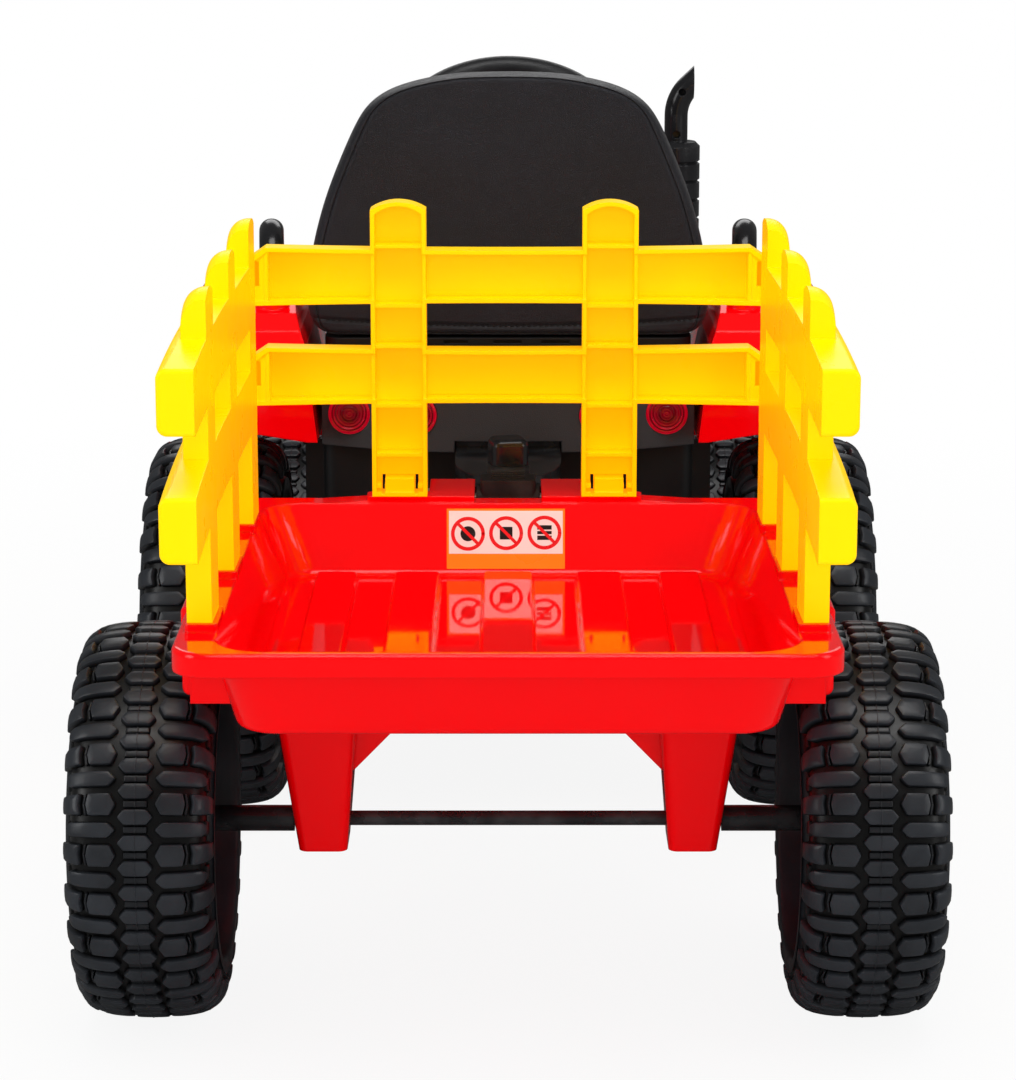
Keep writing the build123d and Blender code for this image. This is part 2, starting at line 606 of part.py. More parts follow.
SHELL = 3                      # wall of the hood and dashboard
with BuildPart() as hood:
    with BuildSketch(Plane.YZ.offset(-HOOD_X)):
        with BuildLine():
            Polyline((DASH_Y1 + 0.1, NOSE_Z1 + 0.1), (DASH_Y1 + 0.1, 432), (500, 426),
                     (612, 404), (634, 388), (640, 366), (640, NOSE_Z1 + 0.1), close=True)
        make_face()
    extrude(amount=2 * HOOD_X)
    fillet([e for e in hood.edges()
            if abs(e.center().X) > HOOD_X - 0.5 and e.center().Z > 385], 16)
    with BuildSketch(Plane.YZ.offset(-HOOD_X + SHELL)):
        with BuildLine():
            Polyline((DASH_Y1 - 5, NOSE_Z1 - 5), (DASH_Y1 - 5, 428.8), (499.5, 423),
                     (610, 401), (631.5, 386), (637, 365.5), (637, NOSE_Z1 - 5), close=True)
        make_face()
    extrude(amount=2 * (HOOD_X - SHELL), mode=Mode.SUBTRACT)
    # louvres in both sides
    for z in (290, 306, 322, 338):
        with Locations((0, 560, z)):
            Box(2 * HOOD_X + 10, 70, 6, mode=Mode.SUBTRACT)
save(hood.part, "hood")

BUTTON_X, BUTTON_Y, BUTTON_R = -62, 338, 9.0      # BUTTON_X: centre
LEVER_X, LEVER_Y, LEVER_Z, LEVER_PIN_R = 70, 340, 445, 2.0    # centre of the pivot
with BuildPart() as dashboard:
    with BuildSketch(Plane.YZ.offset(-DASH_X)):
        with BuildLine():
            Polyline((DASH_Y1, NOSE_Z1 + 0.1), (DASH_Y0, NOSE_Z1 + 0.1), (DASH_Y0, 430),
                     (DASH_Y0 + 8, 450), (DASH_Y0 + 22, DASH_TOP), (DASH_Y1, DASH_TOP),
                     close=True)
        make_face()
    extrude(amount=2 * DASH_X)
    fillet([e for e in dashboard.edges()
            if abs(e.center().X) > DASH_X - 0.5 and e.center().Y < DASH_Y1 - 1
            and e.center().Z > NOSE_Z1 + 5], 9)
    with BuildSketch(Plane.YZ.offset(-DASH_X + SHELL)):
        with BuildLine():
            Polyline((DASH_Y1 + 5, NOSE_Z1 - 5), (DASH_Y0 + 3, NOSE_Z1 - 5),
                     (DASH_Y0 + 3, 429.4), (DASH_Y0 + 10.5, 448), (DASH_Y0 + 23, DASH_TOP - 3),
                     (DASH_Y1 + 5, DASH_TOP - 3), close=True)
        make_face()
    extrude(amount=2 * (DASH_X - SHELL), mode=Mode.SUBTRACT)
    # steering column opening
    with Locations(Plane(origin=on_column(40), z_dir=COLUMN_DIR)):
        Cylinder(13, 60, mode=Mode.SUBTRACT)
    # power button hole, gear lever slot and ears
    with Locations((BUTTON_X, BUTTON_Y, DASH_TOP - 4)):
        Cylinder(13, 5)
    with Locations((BUTTON_X, BUTTON_Y, DASH_TOP)):
        Cylinder(BUTTON_R + RUN, 20, mode=Mode.SUBTRACT)
    with Locations((LEVER_X, LEVER_Y, DASH_TOP)):
        Box(9, 30, 20, mode=Mode.SUBTRACT)
    with Locations((LEVER_X - 8.1, LEVER_Y, 448), (LEVER_X + 8.1, LEVER_Y, 448)):
        Box(3.6, 14, 16)
    with Locations(along_x(LEVER_X, LEVER_Y, LEVER_Z)):
        Cylinder(LEVER_PIN_R + RUN, 30, mode=Mode.SUBTRACT)
save(dashboard.part, "dashboard")

with BuildPart() as power_button:
    with BuildSketch(Plane.XY.offset(452.0)):
        with Locations((BUTTON_X, BUTTON_Y)):
            Circle(BUTTON_R)
    extrude(amount=9.5)
    fillet(power_button.edges().group_by(Axis.Z)[-1], 1.5)
save(power_button.part, "power_button")

with BuildPart() as gear_lever:
    with Locations(along_x(LEVER_X, LEVER_Y, LEVER_Z)):
        Cylinder(5.0, 12)
        Cylinder(LEVER_PIN_R, 19.6)
    with Locations((LEVER_X, LEVER_Y, 464)):
        Cylinder(3.0, 32)
    with Locations((LEVER_X, LEVER_Y, 484)):
        Sphere(8.0)
save(gear_lever.part, "gear_lever")

LAMP_X, LAMP_Z, LAMP_R = 50, 330, 20     # LAMP_X: centre
with BuildPart() as grille:
    with BuildSketch(rear_facing(647)):
        with Locations((0, 305)):
            RectangleRounded(146, 118, 10)
            RectangleRounded(132, 104, 6, mode=Mode.SUBTRACT)
            with GridLocations(0, 15, 1, 7):
                Rectangle(140, 5)
        with Locations((-LAMP_X, LAMP_Z), (LAMP_X, LAMP_Z)):
            Circle(LAMP_R + 4)
            Circle(LAMP_R + 0.1, mode=Mode.SUBTRACT)
    extrude(amount=6.9)
save(grille.part, "grille")

with BuildPart() as headlight_lenses:
    for side in (-1, 1):
        with BuildSketch(rear_facing(650)):
            with Locations((side * LAMP_X, LAMP_Z)):
                Circle(LAMP_R)
        extrude(amount=9.9)
    fillet(headlight_lenses.edges().group_by(Axis.Y)[-1], 3)
save(headlight_lenses.part, "headlight_lenses")

BUMPER_Y1, BUMPER_Z = 680, 177.5
with BuildPart() as front_bumper:
    with BuildSketch(rear_facing(BUMPER_Y1)):
        with Locations((0, BUMPER_Z)):
            RectangleRounded(160, 95, 14)
    extrude(amount=39.9)
    fillet(front_bumper.edges().group_by(Axis.Y)[-1], 8)
    with BuildSketch(rear_facing(BUMPER_Y1 - 4)):
        with Locations((0, BUMPER_Z)):
            RectangleRounded(152, 87, 10)
    extrude(amount=30, mode=Mode.SUBTRACT)
    # window in the rear wall, slots in the front wall
    with BuildSketch(rear_facing(650)):
        with Locations((0, BUMPER_Z)):
            RectangleRounded(110, 40, 6)
    extrude(amount=15, mode=Mode.SUBTRACT)
    with BuildSketch(rear_facing(BUMPER_Y1 + 5)):
        for z in (BUMPER_Z - 22.5, BUMPER_Z, BUMPER_Z + 22.5):
            with Locations((0, z)):
                SlotOverall(110, 9)
    extrude(amount=15, mode=Mode.SUBTRACT)
    with Locations(*[along_y(x, 643, z) for x, z in BUMPER_SCREWS]):
        Cylinder(8, 5.8)
        Cylinder(2.1, 20, mode=Mode.SUBTRACT)
save(front_bumper.part, "front_bumper")

with BuildPart() as speaker:
    # front face y, radius, depth, taper: flange, cone, magnet
    for y, radius, depth, taper in ((636.9, 30, 4, 0), (632.9, 26, 10, 20), (622.9, 15, 8, 0)):
        with BuildSketch(rear_facing(y)):
            with Locations((0, 300)):
                Circle(radius)
        extrude(amount=depth, taper=taper)
save(speaker.part, "speaker")

# ---------------------------------------------------------------------------
# Exhaust
# ---------------------------------------------------------------------------

EXHAUST_X, EXHAUST_Y, EXHAUST_R = 148.0, 400.0, 21.0    # EXHAUST_X: stack centre
ELBOW_Z = 348
GROOVE_ZS = (361.7, 378.1, 394.5, 410.9, 427.2, 443.7, 460.0)
PIPE_X, BEND_Z, BEND_R, BEND_ANGLE = 147.8, 500.6, 35, 47


def bend_point(degrees):
    """Point on the bend of the outlet pipe, which turns from +Z towards +X."""
    angle = math.radians(degrees)
    return (PIPE_X + BEND_R - BEND_R * math.cos(angle), EXHAUST_Y,
            BEND_Z + BEND_R * math.sin(angle))


def outlet_path(z_start, end_length):
    """Centre line of the outlet pipe: straight up, bend, straight end."""
    bend_start, bend_end = (PIPE_X, EXHAUST_Y, BEND_Z), bend_point(BEND_ANGLE)
    angle = math.radians(BEND_ANGLE)
    with BuildLine() as path:
        Line((PIPE_X, EXHAUST_Y, z_start), bend_start)
        ThreePointArc(bend_start, bend_point(BEND_ANGLE / 2), bend_end)
        Line(bend_end, (bend_end[0] + end_length * math.sin(angle), EXHAUST_Y,
                        bend_end[2] + end_length * math.cos(angle)))
    return path.line


pipe_path = outlet_path(477, 22)
bore_path = outlet_path(488, 24)
with BuildPart() as pipe_bore:
    with BuildSketch(Plane.XY.offset(488)):
        with Locations((PIPE_X, EXHAUST_Y)):
            Circle(7.6)
    sweep(path=bore_path)

# half outline of the stack: radius, z
stack_outline = [(0, 322), (12, 322), (EXHAUST_R, 338)]
for z in GROOVE_ZS:
    stack_outline += [(EXHAUST_R, z - 1.6), (EXHAUST_R - 2.2, z), (EXHAUST_R, z + 1.6)]
stack_outline += [(EXHAUST_R, 474), (EXHAUST_R - 4, 478), (0, 478)]

with BuildPart() as exhaust_stack:
    with BuildSketch(rear_facing(EXHAUST_Y, x=EXHAUST_X)):
        with BuildLine():
            Polyline(*stack_outline, close=True)
        make_face()
    revolve(axis=Axis((EXHAUST_X, EXHAUST_Y, 0), (0, 0, 1)))
    # elbow to the hood
    with Locations(along_x((HOOD_X + 0.1 + EXHAUST_X) / 2, EXHAUST_Y, ELBOW_Z)):
        Cylinder(11, EXHAUST_X - HOOD_X - 0.1)
    with Locations(along_x(HOOD_X + 2.1, EXHAUST_Y, ELBOW_Z)):
        Cylinder(17, 4)
    # outlet pipe, cut off upright at its outer end
    with BuildSketch(Plane.XY.offset(477)):
        with Locations((PIPE_X, EXHAUST_Y)):
            Circle(10.2)
    sweep(path=pipe_path)
    with Locations((163 + 20, EXHAUST_Y, 535)):
        Box(40, 60, 90, mode=Mode.SUBTRACT)
    add(pipe_bore.part, mode=Mode.SUBTRACT)
    # holes in the rear of the pipe
    with Locations(along_y(152.5, EXHAUST_Y - 10, 521.5)):
        Cylinder(3.2, 12, mode=Mode.SUBTRACT)
    with Locations(along_y(147.9, EXHAUST_Y - 10, 484.5)):
        Cylinder(3.2, 12, mode=Mode.SUBTRACT)
save(exhaust_stack.part, "exhaust_stack")

# ---------------------------------------------------------------------------
# Front axle beam, knuckles, tie rod, steering shaft and wheel, pedal
# ---------------------------------------------------------------------------

with BuildPart() as front_axle_beam:
    with Locations((0, FRONT.y, (BEAM_Z0 + BEAM_Z1) / 2)):
        Box(2 * 132, 20, BEAM_Z1 - BEAM_Z0)
    for side in (-1, 1):
        with Locations((side * KING_X, FRONT.y, (BEAM_Z0 + KING_TOP) / 2)):
            Cylinder(12, KING_TOP - BEAM_Z0)
    for side in (-1, 1):
        with Locations((side * KING_X, FRONT.y, (BEAM_Z0 + KING_TOP) / 2)):
            Cylinder(KING_R + RUN, 60, mode=Mode.SUBTRACT)
    # pockets underneath
    with Locations((-60, FRONT.y, BEAM_Z0), (60, FRONT.y, BEAM_Z0), (0, FRONT.y, BEAM_Z0)):
        Box(44, 14, 24, mode=Mode.SUBTRACT)
save(front_axle_beam.part, "front_axle_beam")

KNUCKLE_Z0, KNUCKLE_Z1, KINGPIN_Z1, STUB_END = 92, 115.9, 153, 231
with BuildPart() as steering_knuckle:
    with Locations((KING_X, FRONT.y, (KNUCKLE_Z0 + KINGPIN_Z1) / 2)):
        Cylinder(KING_R, KINGPIN_Z1 - KNUCKLE_Z0)
    with Locations((KING_X + 3, FRONT.y, (KNUCKLE_Z0 + KNUCKLE_Z1) / 2)):
        Box(26, 22, KNUCKLE_Z1 - KNUCKLE_Z0)
    # stub axle and its shoulder
    with Locations(along_x((KING_X + STUB_END) / 2, FRONT.y, FRONT.radius)):
        Cylinder(FRONT.axle, STUB_END - KING_X)
    with Locations(along_x((KING_X + FRONT.hub_inner - 0.3) / 2 + 6, FRONT.y, FRONT.radius)):
        Cylinder(9, FRONT.hub_inner - 0.3 - KING_X - 12)
    # steering arm and its pin
    with BuildSketch(Plane.XY.offset(KING_TOP + 0.1)):
        with Locations((KING_X, FRONT.y), (KING_X, TIE_Y)):
            Circle(9)
        with Locations((KING_X, FRONT.y - ARM / 2)):
            Rectangle(14, ARM)
    extrude(amount=TIE_Z0 - 0.1 - KING_TOP - 0.1)
    with Locations((KING_X, TIE_Y, (KING_TOP + 1 + TIE_Z1 + 2) / 2)):
        Cylinder(3, TIE_Z1 + 2 - KING_TOP - 1)
save_pair(steering_knuckle.part, "steering_knuckle")

FORK_GAP = 6.0                 # half width between the prongs around the ball
with BuildPart() as tie_rod:
    with BuildSketch(Plane.XY.offset(TIE_Z0)):
        with Locations((0, TIE_Y + 2)):
            RectangleRounded(2 * KING_X + 22, 22, 8)
        with Locations((0, (TIE_Y + BALL_Y - 8) / 2)):
            Rectangle(18, BALL_Y - 8 - TIE_Y)
        with Locations((-KING_X, TIE_Y + 1.75), (KING_X, TIE_Y + 1.75)):
            SlotOverall(10.6, 7.4, rotation=90, mode=Mode.SUBTRACT)
    extrude(amount=TIE_Z1 - TIE_Z0)
    with BuildSketch(Plane.XY.offset(BALL_Z - 6)):
        with Locations((0, (BALL_Y - 10 + BALL_Y + 7) / 2)):
            Rectangle(2 * FORK_GAP + 6, 17)
        with Locations((0, (BALL_Y - 6 + BALL_Y + 10) / 2)):
            Rectangle(2 * FORK_GAP, 16, mode=Mode.SUBTRACT)
    extrude(amount=10.5)
save(tie_rod.part, "tie_rod")

with BuildPart() as steering_shaft:
    with BuildSketch(Plane(origin=on_column(6), x_dir=(1, 0, 0), z_dir=COLUMN_DIR)):
        Circle(SHAFT_R)
    extrude(amount=CRANK_AT + 4 - 6)
    # crank and ball
    with BuildSketch(Plane(origin=on_column(CRANK_AT), x_dir=(1, 0, 0),
                           z_dir=(0, COLUMN_DIR[2], -COLUMN_DIR[1]))):
        Circle(3)
    extrude(amount=CRANK_LENGTH)
    with Locations(on_column(CRANK_AT, CRANK_LENGTH)):
        Sphere(BALL_R)
save(steering_shaft.part, "steering_shaft")

STEER_PLANE = Plane(origin=WHEEL_CENTRE, x_dir=(1, 0, 0), z_dir=tuple(-c for c in COLUMN_DIR))
with BuildPart() as steering_wheel:
    with BuildSketch(STEER_PLANE):
        Circle(33)
    extrude(amount=6, both=True)
    # spokes
    with BuildSketch(STEER_PLANE):
        for angle in (0, 180, 270):
            with Locations(Location((0, 0), angle)):
                with Locations((62, 0)):
                    Rectangle(66, 26)
    extrude(amount=3.5, both=True)
    with Locations(STEER_PLANE):
        Torus(GRIP_RING_R, GRIP_TUBE_R)
    with BuildSketch(STEER_PLANE.offset(-22)):
        Circle(14)
    extrude(amount=22)
    # horn button recess and shaft bore
    with BuildSketch(STEER_PLANE.offset(-1)):
        Circle(HORN_R + RUN)
    extrude(amount=10, mode=Mode.SUBTRACT)
    with BuildSketch(STEER_PLANE.offset(-30)):
        Circle(SHAFT_R)
    extrude(amount=25, mode=Mode.SUBTRACT)
save(steering_wheel.part, "steering_wheel")

with BuildPart() as horn_button:
    with BuildSketch(STEER_PLANE.offset(1.5)):
        Circle(HORN_R)
    extrude(amount=7)
    fillet(horn_button.edges().group_by(Axis.Z)[-1], 1.2)
save(horn_button.part, "horn_button")

# accelerator pedal, hinged at the heel
with BuildPart() as pedal:
    with BuildSketch(Plane.YZ.offset(PEDAL_X - 22)):
        with BuildLine():
            Polyline((PEDAL_Y - 4.5, PEDAL_Z + 1), (PEDAL_Y - 3, PEDAL_Z + 4),
                     (PEDAL_Y + 76, PEDAL_Z + 31), (PEDAL_Y + 77.5, PEDAL_Z + 27),
                     (PEDAL_Y + 4, PEDAL_Z - 1), (PEDAL_Y, PEDAL_Z - 4), close=True)
        make_face()
    extrude(amount=44)
    with Locations(along_x(PEDAL_X, PEDAL_Y, PEDAL_Z)):
        Cylinder(PEDAL_PIN_R, 53)
    # tread ribs
    for i in range(5):
        with Locations(Plane(origin=(PEDAL_X, PEDAL_Y + 14 + 12 * i,
                                     PEDAL_Z + 4 + 0.342 * (17 + 12 * i)),
                             x_dir=(1, 0, 0), z_dir=(0, -0.3236, 0.9462))):
            Box(38, 3, 2.4)
save(pedal.part, "pedal")

# ---------------------------------------------------------------------------
# Tow hitch, pin, drawbar
# ---------------------------------------------------------------------------

# half width, length of the rounded end, bottom, thickness: shelf, lower jaw
HITCH_PLATES = ((39, 65, SHELF_Z0, SHELF_Z1 - SHELF_Z0), (30, 52, 270, 9.5))
with BuildPart() as tow_hitch:
    for half, reach, z0, thickness in HITCH_PLATES:
        with BuildSketch(Plane.XY.offset(z0)):
            with BuildLine():
                EllipticalCenterArc((0, -121), half, reach, start_angle=180, arc_size=180)
                Polyline((half, -121), (half, REAR_FACE), (-half, REAR_FACE), (-half, -121))
            make_face()
        extrude(amount=thickness)
    # back plate and webs
    with Locations((0, REAR_FACE - 3, 264)):
        Box(78, 6, 76)
    with Locations((0, -75, 250)):
        Box(7, 22, 41)
    with Locations((0, -82, 285)):
        Box(60, 40, 20)
    with Locations((0, HITCH_Y, 285)):
        Cylinder(PIN_R + RUN, 60, mode=Mode.SUBTRACT)
    with Locations(*[along_y(x, -64, z) for x, z in HITCH_BOLTS]):
        Cylinder(3.1, 10, mode=Mode.SUBTRACT)
save(tow_hitch.part, "tow_hitch")

with BuildPart() as body_fasteners:
    # hitch bolts
    for x, z in HITCH_BOLTS:
        with BuildSketch(rear_facing(-67.3)):
            with Locations((x, z)):
                RegularPolygon(5.8, 6)
        extrude(amount=4)
        with BuildSketch(rear_facing(-45)):
            with Locations((x, z)):
                Circle(3.0)
        extrude(amount=22.3)
    # bumper screws
    for x, z in BUMPER_SCREWS:
        with BuildSketch(rear_facing(649)):
            with Locations((x, z)):
                Circle(4.2)
        extrude(amount=3)
        with BuildSketch(rear_facing(646.05)):
            with Locations((x, z)):
                Circle(2.0)
        extrude(amount=18)
save(body_fasteners.part, "body_fasteners")

with BuildPart() as hitch_pin:
    with BuildSketch(Plane.XY.offset(266)):
        with Locations((0, HITCH_Y)):
            Circle(PIN_R)
    extrude(amount=TONGUE_Z1 + 1 - 266)
    # knob
    with BuildSketch(Plane.XY.offset(TONGUE_Z1 + 0.1)):
        with Locations(Location((0, HITCH_Y), 12)):
            RectangleRounded(27, 27, 7)
    extrude(amount=19)
    fillet(hitch_pin.edges().group_by(Axis.Z)[-1], 5.0)
save(hitch_pin.part, "hitch_pin")

with BuildPart() as drawbar:
    with Locations(along_x(0, FORK_Y, FORK_Z)):
        Cylinder(11.0, 45)
    # tongue on the shelf
    with BuildSketch(Plane.XY.offset(SHELF_Z1 + 0.1)):
        with Locations((0, (HITCH_Y + 16 - 194) / 2)):
            RectangleRounded(30, HITCH_Y + 16 + 194, 13)
        with Locations((0, -196)):
            Rectangle(30, 20)
    extrude(amount=TONGUE_Z1 - SHELF_Z1 - 0.1)
    # block between the shelf and the fork
    with BuildSketch(Plane.XY.offset(281)):
        with Locations((0, -201)):
            RectangleRounded(39, 25, 3)
    extrude(amount=TONGUE_Z1 - 281)
    for y in (-180, -188, -196, -204):
        with Locations((0, y, TONGUE_Z1)):
            Box(24, 3, 1.6, mode=Mode.SUBTRACT)
    with Locations((0, HITCH_Y, 285)):
        Cylinder(PIN_R + RUN, 60, mode=Mode.SUBTRACT)
    with Locations(along_x(0, FORK_Y, FORK_Z)):
        Cylinder(FORK_R + RUN, 60, mode=Mode.SUBTRACT)
save(drawbar.part, "drawbar")

# ---------------------------------------------------------------------------
# Trailer tub
# ---------------------------------------------------------------------------

RIM_MID_Y, RIM_LENGTH = (RIM_Y0 + RIM_Y1) / 2, RIM_Y1 - RIM_Y0
TUB_MID_Y = -454
EAR_GAP = 46.6                 # between the fork ears
# fork ear side outline: y, z
EAR_SIDE = [
    (-240, 262), (-203, 270.5), (-197, 272), (-190, 279), (-189, 286), (-191, 294),
    (-197, 298.9), (-240, 298.9),
]

with BuildPart() as tub_cavity:
    with BuildSketch(Plane.XY.offset(TUB_FLOOR)):
        with Locations((0, TUB_MID_Y)):
            RectangleRounded(2 * 151, 376, 26)
    with BuildSketch(Plane.XY.offset(RIM_TOP + 0.01)):
        with Locations((0, -457)):
            RectangleRounded(2 * 170.6, 402, 30)
    loft()
    fillet(tub_cavity.edges().group_by(Axis.Z)[0], 7.0)

ARCH_Z = TRAILER.radius + math.sqrt(ARCH_R ** 2 - ARCH_Y ** 2)
ARCH_Y0, ARCH_Y1 = TRAILER.y - ARCH_Y, TRAILER.y + ARCH_Y
with BuildPart() as arch:
    with BuildSketch(Plane.YZ.offset(186)):
        with BuildLine():
            Polyline((ARCH_Y0, ARCH_Z), (ARCH_Y0, RIM_TOP), (ARCH_Y1, RIM_TOP),
                     (ARCH_Y1, ARCH_Z))
            ThreePointArc((ARCH_Y1, ARCH_Z), (TRAILER.y, TRAILER.radius + ARCH_R),
                          (ARCH_Y0, ARCH_Z))
        make_face()
    extrude(amount=ARCH_X - 186)
    # round the outer edges except the arc over the wheel
    fillet([e for e in arch.edges()
            if e.center().X > ARCH_X - 0.1 and e.center().Z > 260
            and not (abs(e.center().Y - TRAILER.y) < 1 and e.center().Z < RIM_TOP - 1)], 5.0)
    with Locations((192.8, TRAILER.y, 260.5)):
        Box(5.6, 2 * ARCH_Y - 6, 60, mode=Mode.SUBTRACT)

with BuildPart() as trailer_tub:
    with BuildSketch(Plane.XY.offset(TUB_BOTTOM)):
        with Locations((0, TUB_MID_Y)):
            RectangleRounded(2 * 158.5, 390, 26)
    with BuildSketch(Plane.XY.offset(RIM_BOTTOM + 1)):
        with Locations((0, -456.5)):
            RectangleRounded(2 * 169, 408, 28)
    loft()
    fillet(trailer_tub.edges().group_by(Axis.Z)[0], 6.0)
    with BuildSketch(Plane.XY.offset(RIM_BOTTOM)):
        with Locations((0, RIM_MID_Y)):
            RectangleRounded(2 * RIM_X, RIM_LENGTH, 24)
    extrude(amount=RIM_T)
    fillet(trailer_tub.edges().group_by(Axis.Z)[-1], 3.0)
    # hollow the underside of the rim flange
    with BuildSketch(Plane.XY.offset(RIM_BOTTOM)):
        with Locations((0, RIM_MID_Y)):
            RectangleRounded(2 * RIM_X - 6, RIM_LENGTH - 6, 21)
        with Locations((0, -457)):
            RectangleRounded(2 * 174, 412, 22, mode=Mode.SUBTRACT)
    extrude(amount=RIM_T - 4, mode=Mode.SUBTRACT)
    # front hump that carries the fork ears
    with BuildSketch(rear_facing(-236.5)):
        with BuildLine():
            Polyline((-130, 285), (-130, RIM_TOP - 0.5))
            ThreePointArc((-130, RIM_TOP - 0.5), (-88, 296.2), (-50, 298.9))
            Polyline((-50, 298.9), (50, 298.9))
            ThreePointArc((50, 298.9), (88, 296.2), (130, RIM_TOP - 0.5))
            Polyline((130, RIM_TOP - 0.5), (130, 285), (-130, 285))
        make_face()
    extrude(amount=18.5)
    for ear_x in (-55, EAR_GAP / 2):
        with BuildSketch(Plane.YZ.offset(ear_x)):
            with BuildLine():
                Polyline(*EAR_SIDE, close=True)
            make_face()
        extrude(amount=31.7)
    with Locations(along_x(0, FORK_Y, FORK_Z)):
        Cylinder(FORK_R + RUN, 120, mode=Mode.SUBTRACT)
    with Locations((0, -216, 290)):
        Box(EAR_GAP, 46, 60, mode=Mode.SUBTRACT)
    with Locations((0, -248, 305)):
        Box(EAR_GAP, 30, 22, mode=Mode.SUBTRACT)
    # socket blocks under the rim at the posts
    for side in (-1, 1):
        for post_y in POST_YS:
            with Locations((side * 172, post_y, 271)):
                Box(30, POST_W + 8, 40)
            with Locations((side * 175, post_y, 263)):
                Box(18, POST_W, 28, mode=Mode.SUBTRACT)
    # wheel arches outside the rim
    add(arch.part)
    add(mirror(arch.part, about=Plane.YZ, mode=Mode.PRIVATE))
    add(tub_cavity.part, mode=Mode.SUBTRACT)
    # floor ridges
    for x0, x1 in ((-133, -103), (-79, -46), (-18, 18), (46, 79), (103, 133)):
        with BuildSketch(Plane.XY.offset(TUB_FLOOR - 0.5)):
            with Locations(((x0 + x1) / 2, TUB_MID_Y)):
                RectangleRounded(x1 - x0, 356, 5)
        extrude(amount=6.0, taper=18)
    # raised collars and pockets for the posts
    for side in (-1, 1):
        for post_y in POST_YS:
            with BuildSketch(Plane.XY.offset(RIM_TOP - 1)):
                with Locations((side * (180.2 - toe(post_y) / 2), post_y)):
                    RectangleRounded(19.4, POST_W + 8, 3)
            extrude(amount=6)
            with Locations((side * (181.5 - toe(post_y)), post_y, 291)):
                Box(12.4, 30.4, 22, mode=Mode.SUBTRACT)
    for x in FRONT_POST_XS:
        with BuildSketch(Plane.XY.offset(RIM_TOP - 1)):
            with Locations((x, -248)):
                RectangleRounded(POST_W + 8, 15.6, 3)
        extrude(amount=6)
        with Locations((x, -247, 291)):
            Box(30.4, 8.4, 22, mode=Mode.SUBTRACT)
save(trailer_tub.part, "trailer_tub")

with BuildPart() as fork_bolt:
    with Locations(along_x(0, FORK_Y, FORK_Z)):
        Cylinder(FORK_R, 122)
    # head on the right, nut on the left
    for side, thickness in ((1, 5), (-1, 6)):
        with BuildSketch(along_x(side * 55.1, FORK_Y, FORK_Z, side)):
            RegularPolygon(7.4, 6)
        extrude(amount=thickness)
save(fork_bolt.part, "fork_bolt")

# ---------------------------------------------------------------------------
# Axle supports: tapered hollow legs with an inboard gusset; axle sleeves
# ---------------------------------------------------------------------------

LEG_TOP_X, LEG_FOOT_X = 122, 118.5      # centres of the leg sections
with BuildPart() as leg_core:
    with BuildSketch(Plane.XY.offset(TUB_BOTTOM)):
        with Locations((LEG_TOP_X, TRAILER.y)):
            RectangleRounded(58 - 7, 96 - 7, 4)
    with BuildSketch(Plane.XY.offset(117)):
        with Locations((LEG_FOOT_X, TRAILER.y)):
            RectangleRounded(31 - 7, 48 - 7, 3)
    loft()
with BuildPart() as axle_supports:
    with BuildSketch(Plane.XY.offset(TUB_BOTTOM - 0.1)):
        with Locations((LEG_TOP_X, TRAILER.y)):
            RectangleRounded(58, 96, 7)
    with BuildSketch(Plane.XY.offset(113)):
        with Locations((LEG_FOOT_X, TRAILER.y)):
            RectangleRounded(31, 48, 6)
    loft()
    with BuildSketch(rear_facing(TRAILER.y + 2.5)):
        with BuildLine():
            Polyline((112, 159), (101, 159), (25, TUB_BOTTOM - 4), (25, TUB_BOTTOM - 0.1),
                     (112, TUB_BOTTOM - 0.1), close=True)
        make_face()
    extrude(amount=5)
    add(leg_core.part, mode=Mode.SUBTRACT)
    with Locations(along_x(118, TRAILER.y, TRAILER.radius)):
        Cylinder(9.5, 27)
        Cylinder(TRAILER.axle + RUN, 80, mode=Mode.SUBTRACT)
    mirror(about=Plane.YZ)
save(axle_supports.part, "axle_supports")

with BuildPart() as axle_sleeves:
    with BuildSketch(along_x(138.0, TRAILER.y, TRAILER.radius)):
        Circle(8.4)
        Circle(TRAILER.axle + RUN, mode=Mode.SUBTRACT)
    extrude(amount=TRAILER.hub_inner - 0.1 - 138.0)
    mirror(about=Plane.YZ)
save(axle_sleeves.part, "axle_sleeves")

# ---------------------------------------------------------------------------
# Side fences
# ---------------------------------------------------------------------------

# bottom and top of the straight part, bottom and top at the rear end
UPPER_RAIL = (431, 471, 423, 461.5)
LOWER_RAIL = (361, 402, 349.5, 388)


def fence_rail(x0, x1, inset, heights):
    """Side rail: straight board whose rear part droops, shrunk by inset."""
    bottom, top = heights[0] + inset, heights[1] - inset
    rear_bottom, rear_top = heights[2] + inset, heights[3] - inset
    front, bend, rear = -306 - inset, -500, -680 + inset
    with BuildPart() as rail:
        with BuildSketch(Plane.YZ.offset(x0)):
            with BuildLine():
                Polyline((bend, bottom), (front, bottom), (front, top), (bend, top))
                TangentArc((bend, top), (rear, rear_top), tangent=(-1, 0))
                Line((rear, rear_top), (rear, rear_bottom))
                TangentArc((bend, bottom), (rear, rear_bottom), tangent=(-1, 0))
            make_face()
        extrude(amount=x1 - x0)
        if inset == 0:
            fillet([e for e in rail.edges() if e.center().X > x1 - 0.5 and e.length > 60], 6.0)
            fillet([e for e in rail.edges()
                    if e.center().Y < -679.5 and e.center().X > x0 + 1], 2.5)
    return rail.part


rails = [fence_rail(POST_X0, 195.3, 0, heights) for heights in (UPPER_RAIL, LOWER_RAIL)]
rail_voids = [fence_rail(176.3, 192.3, 3.2, heights) for heights in (UPPER_RAIL, LOWER_RAIL)]

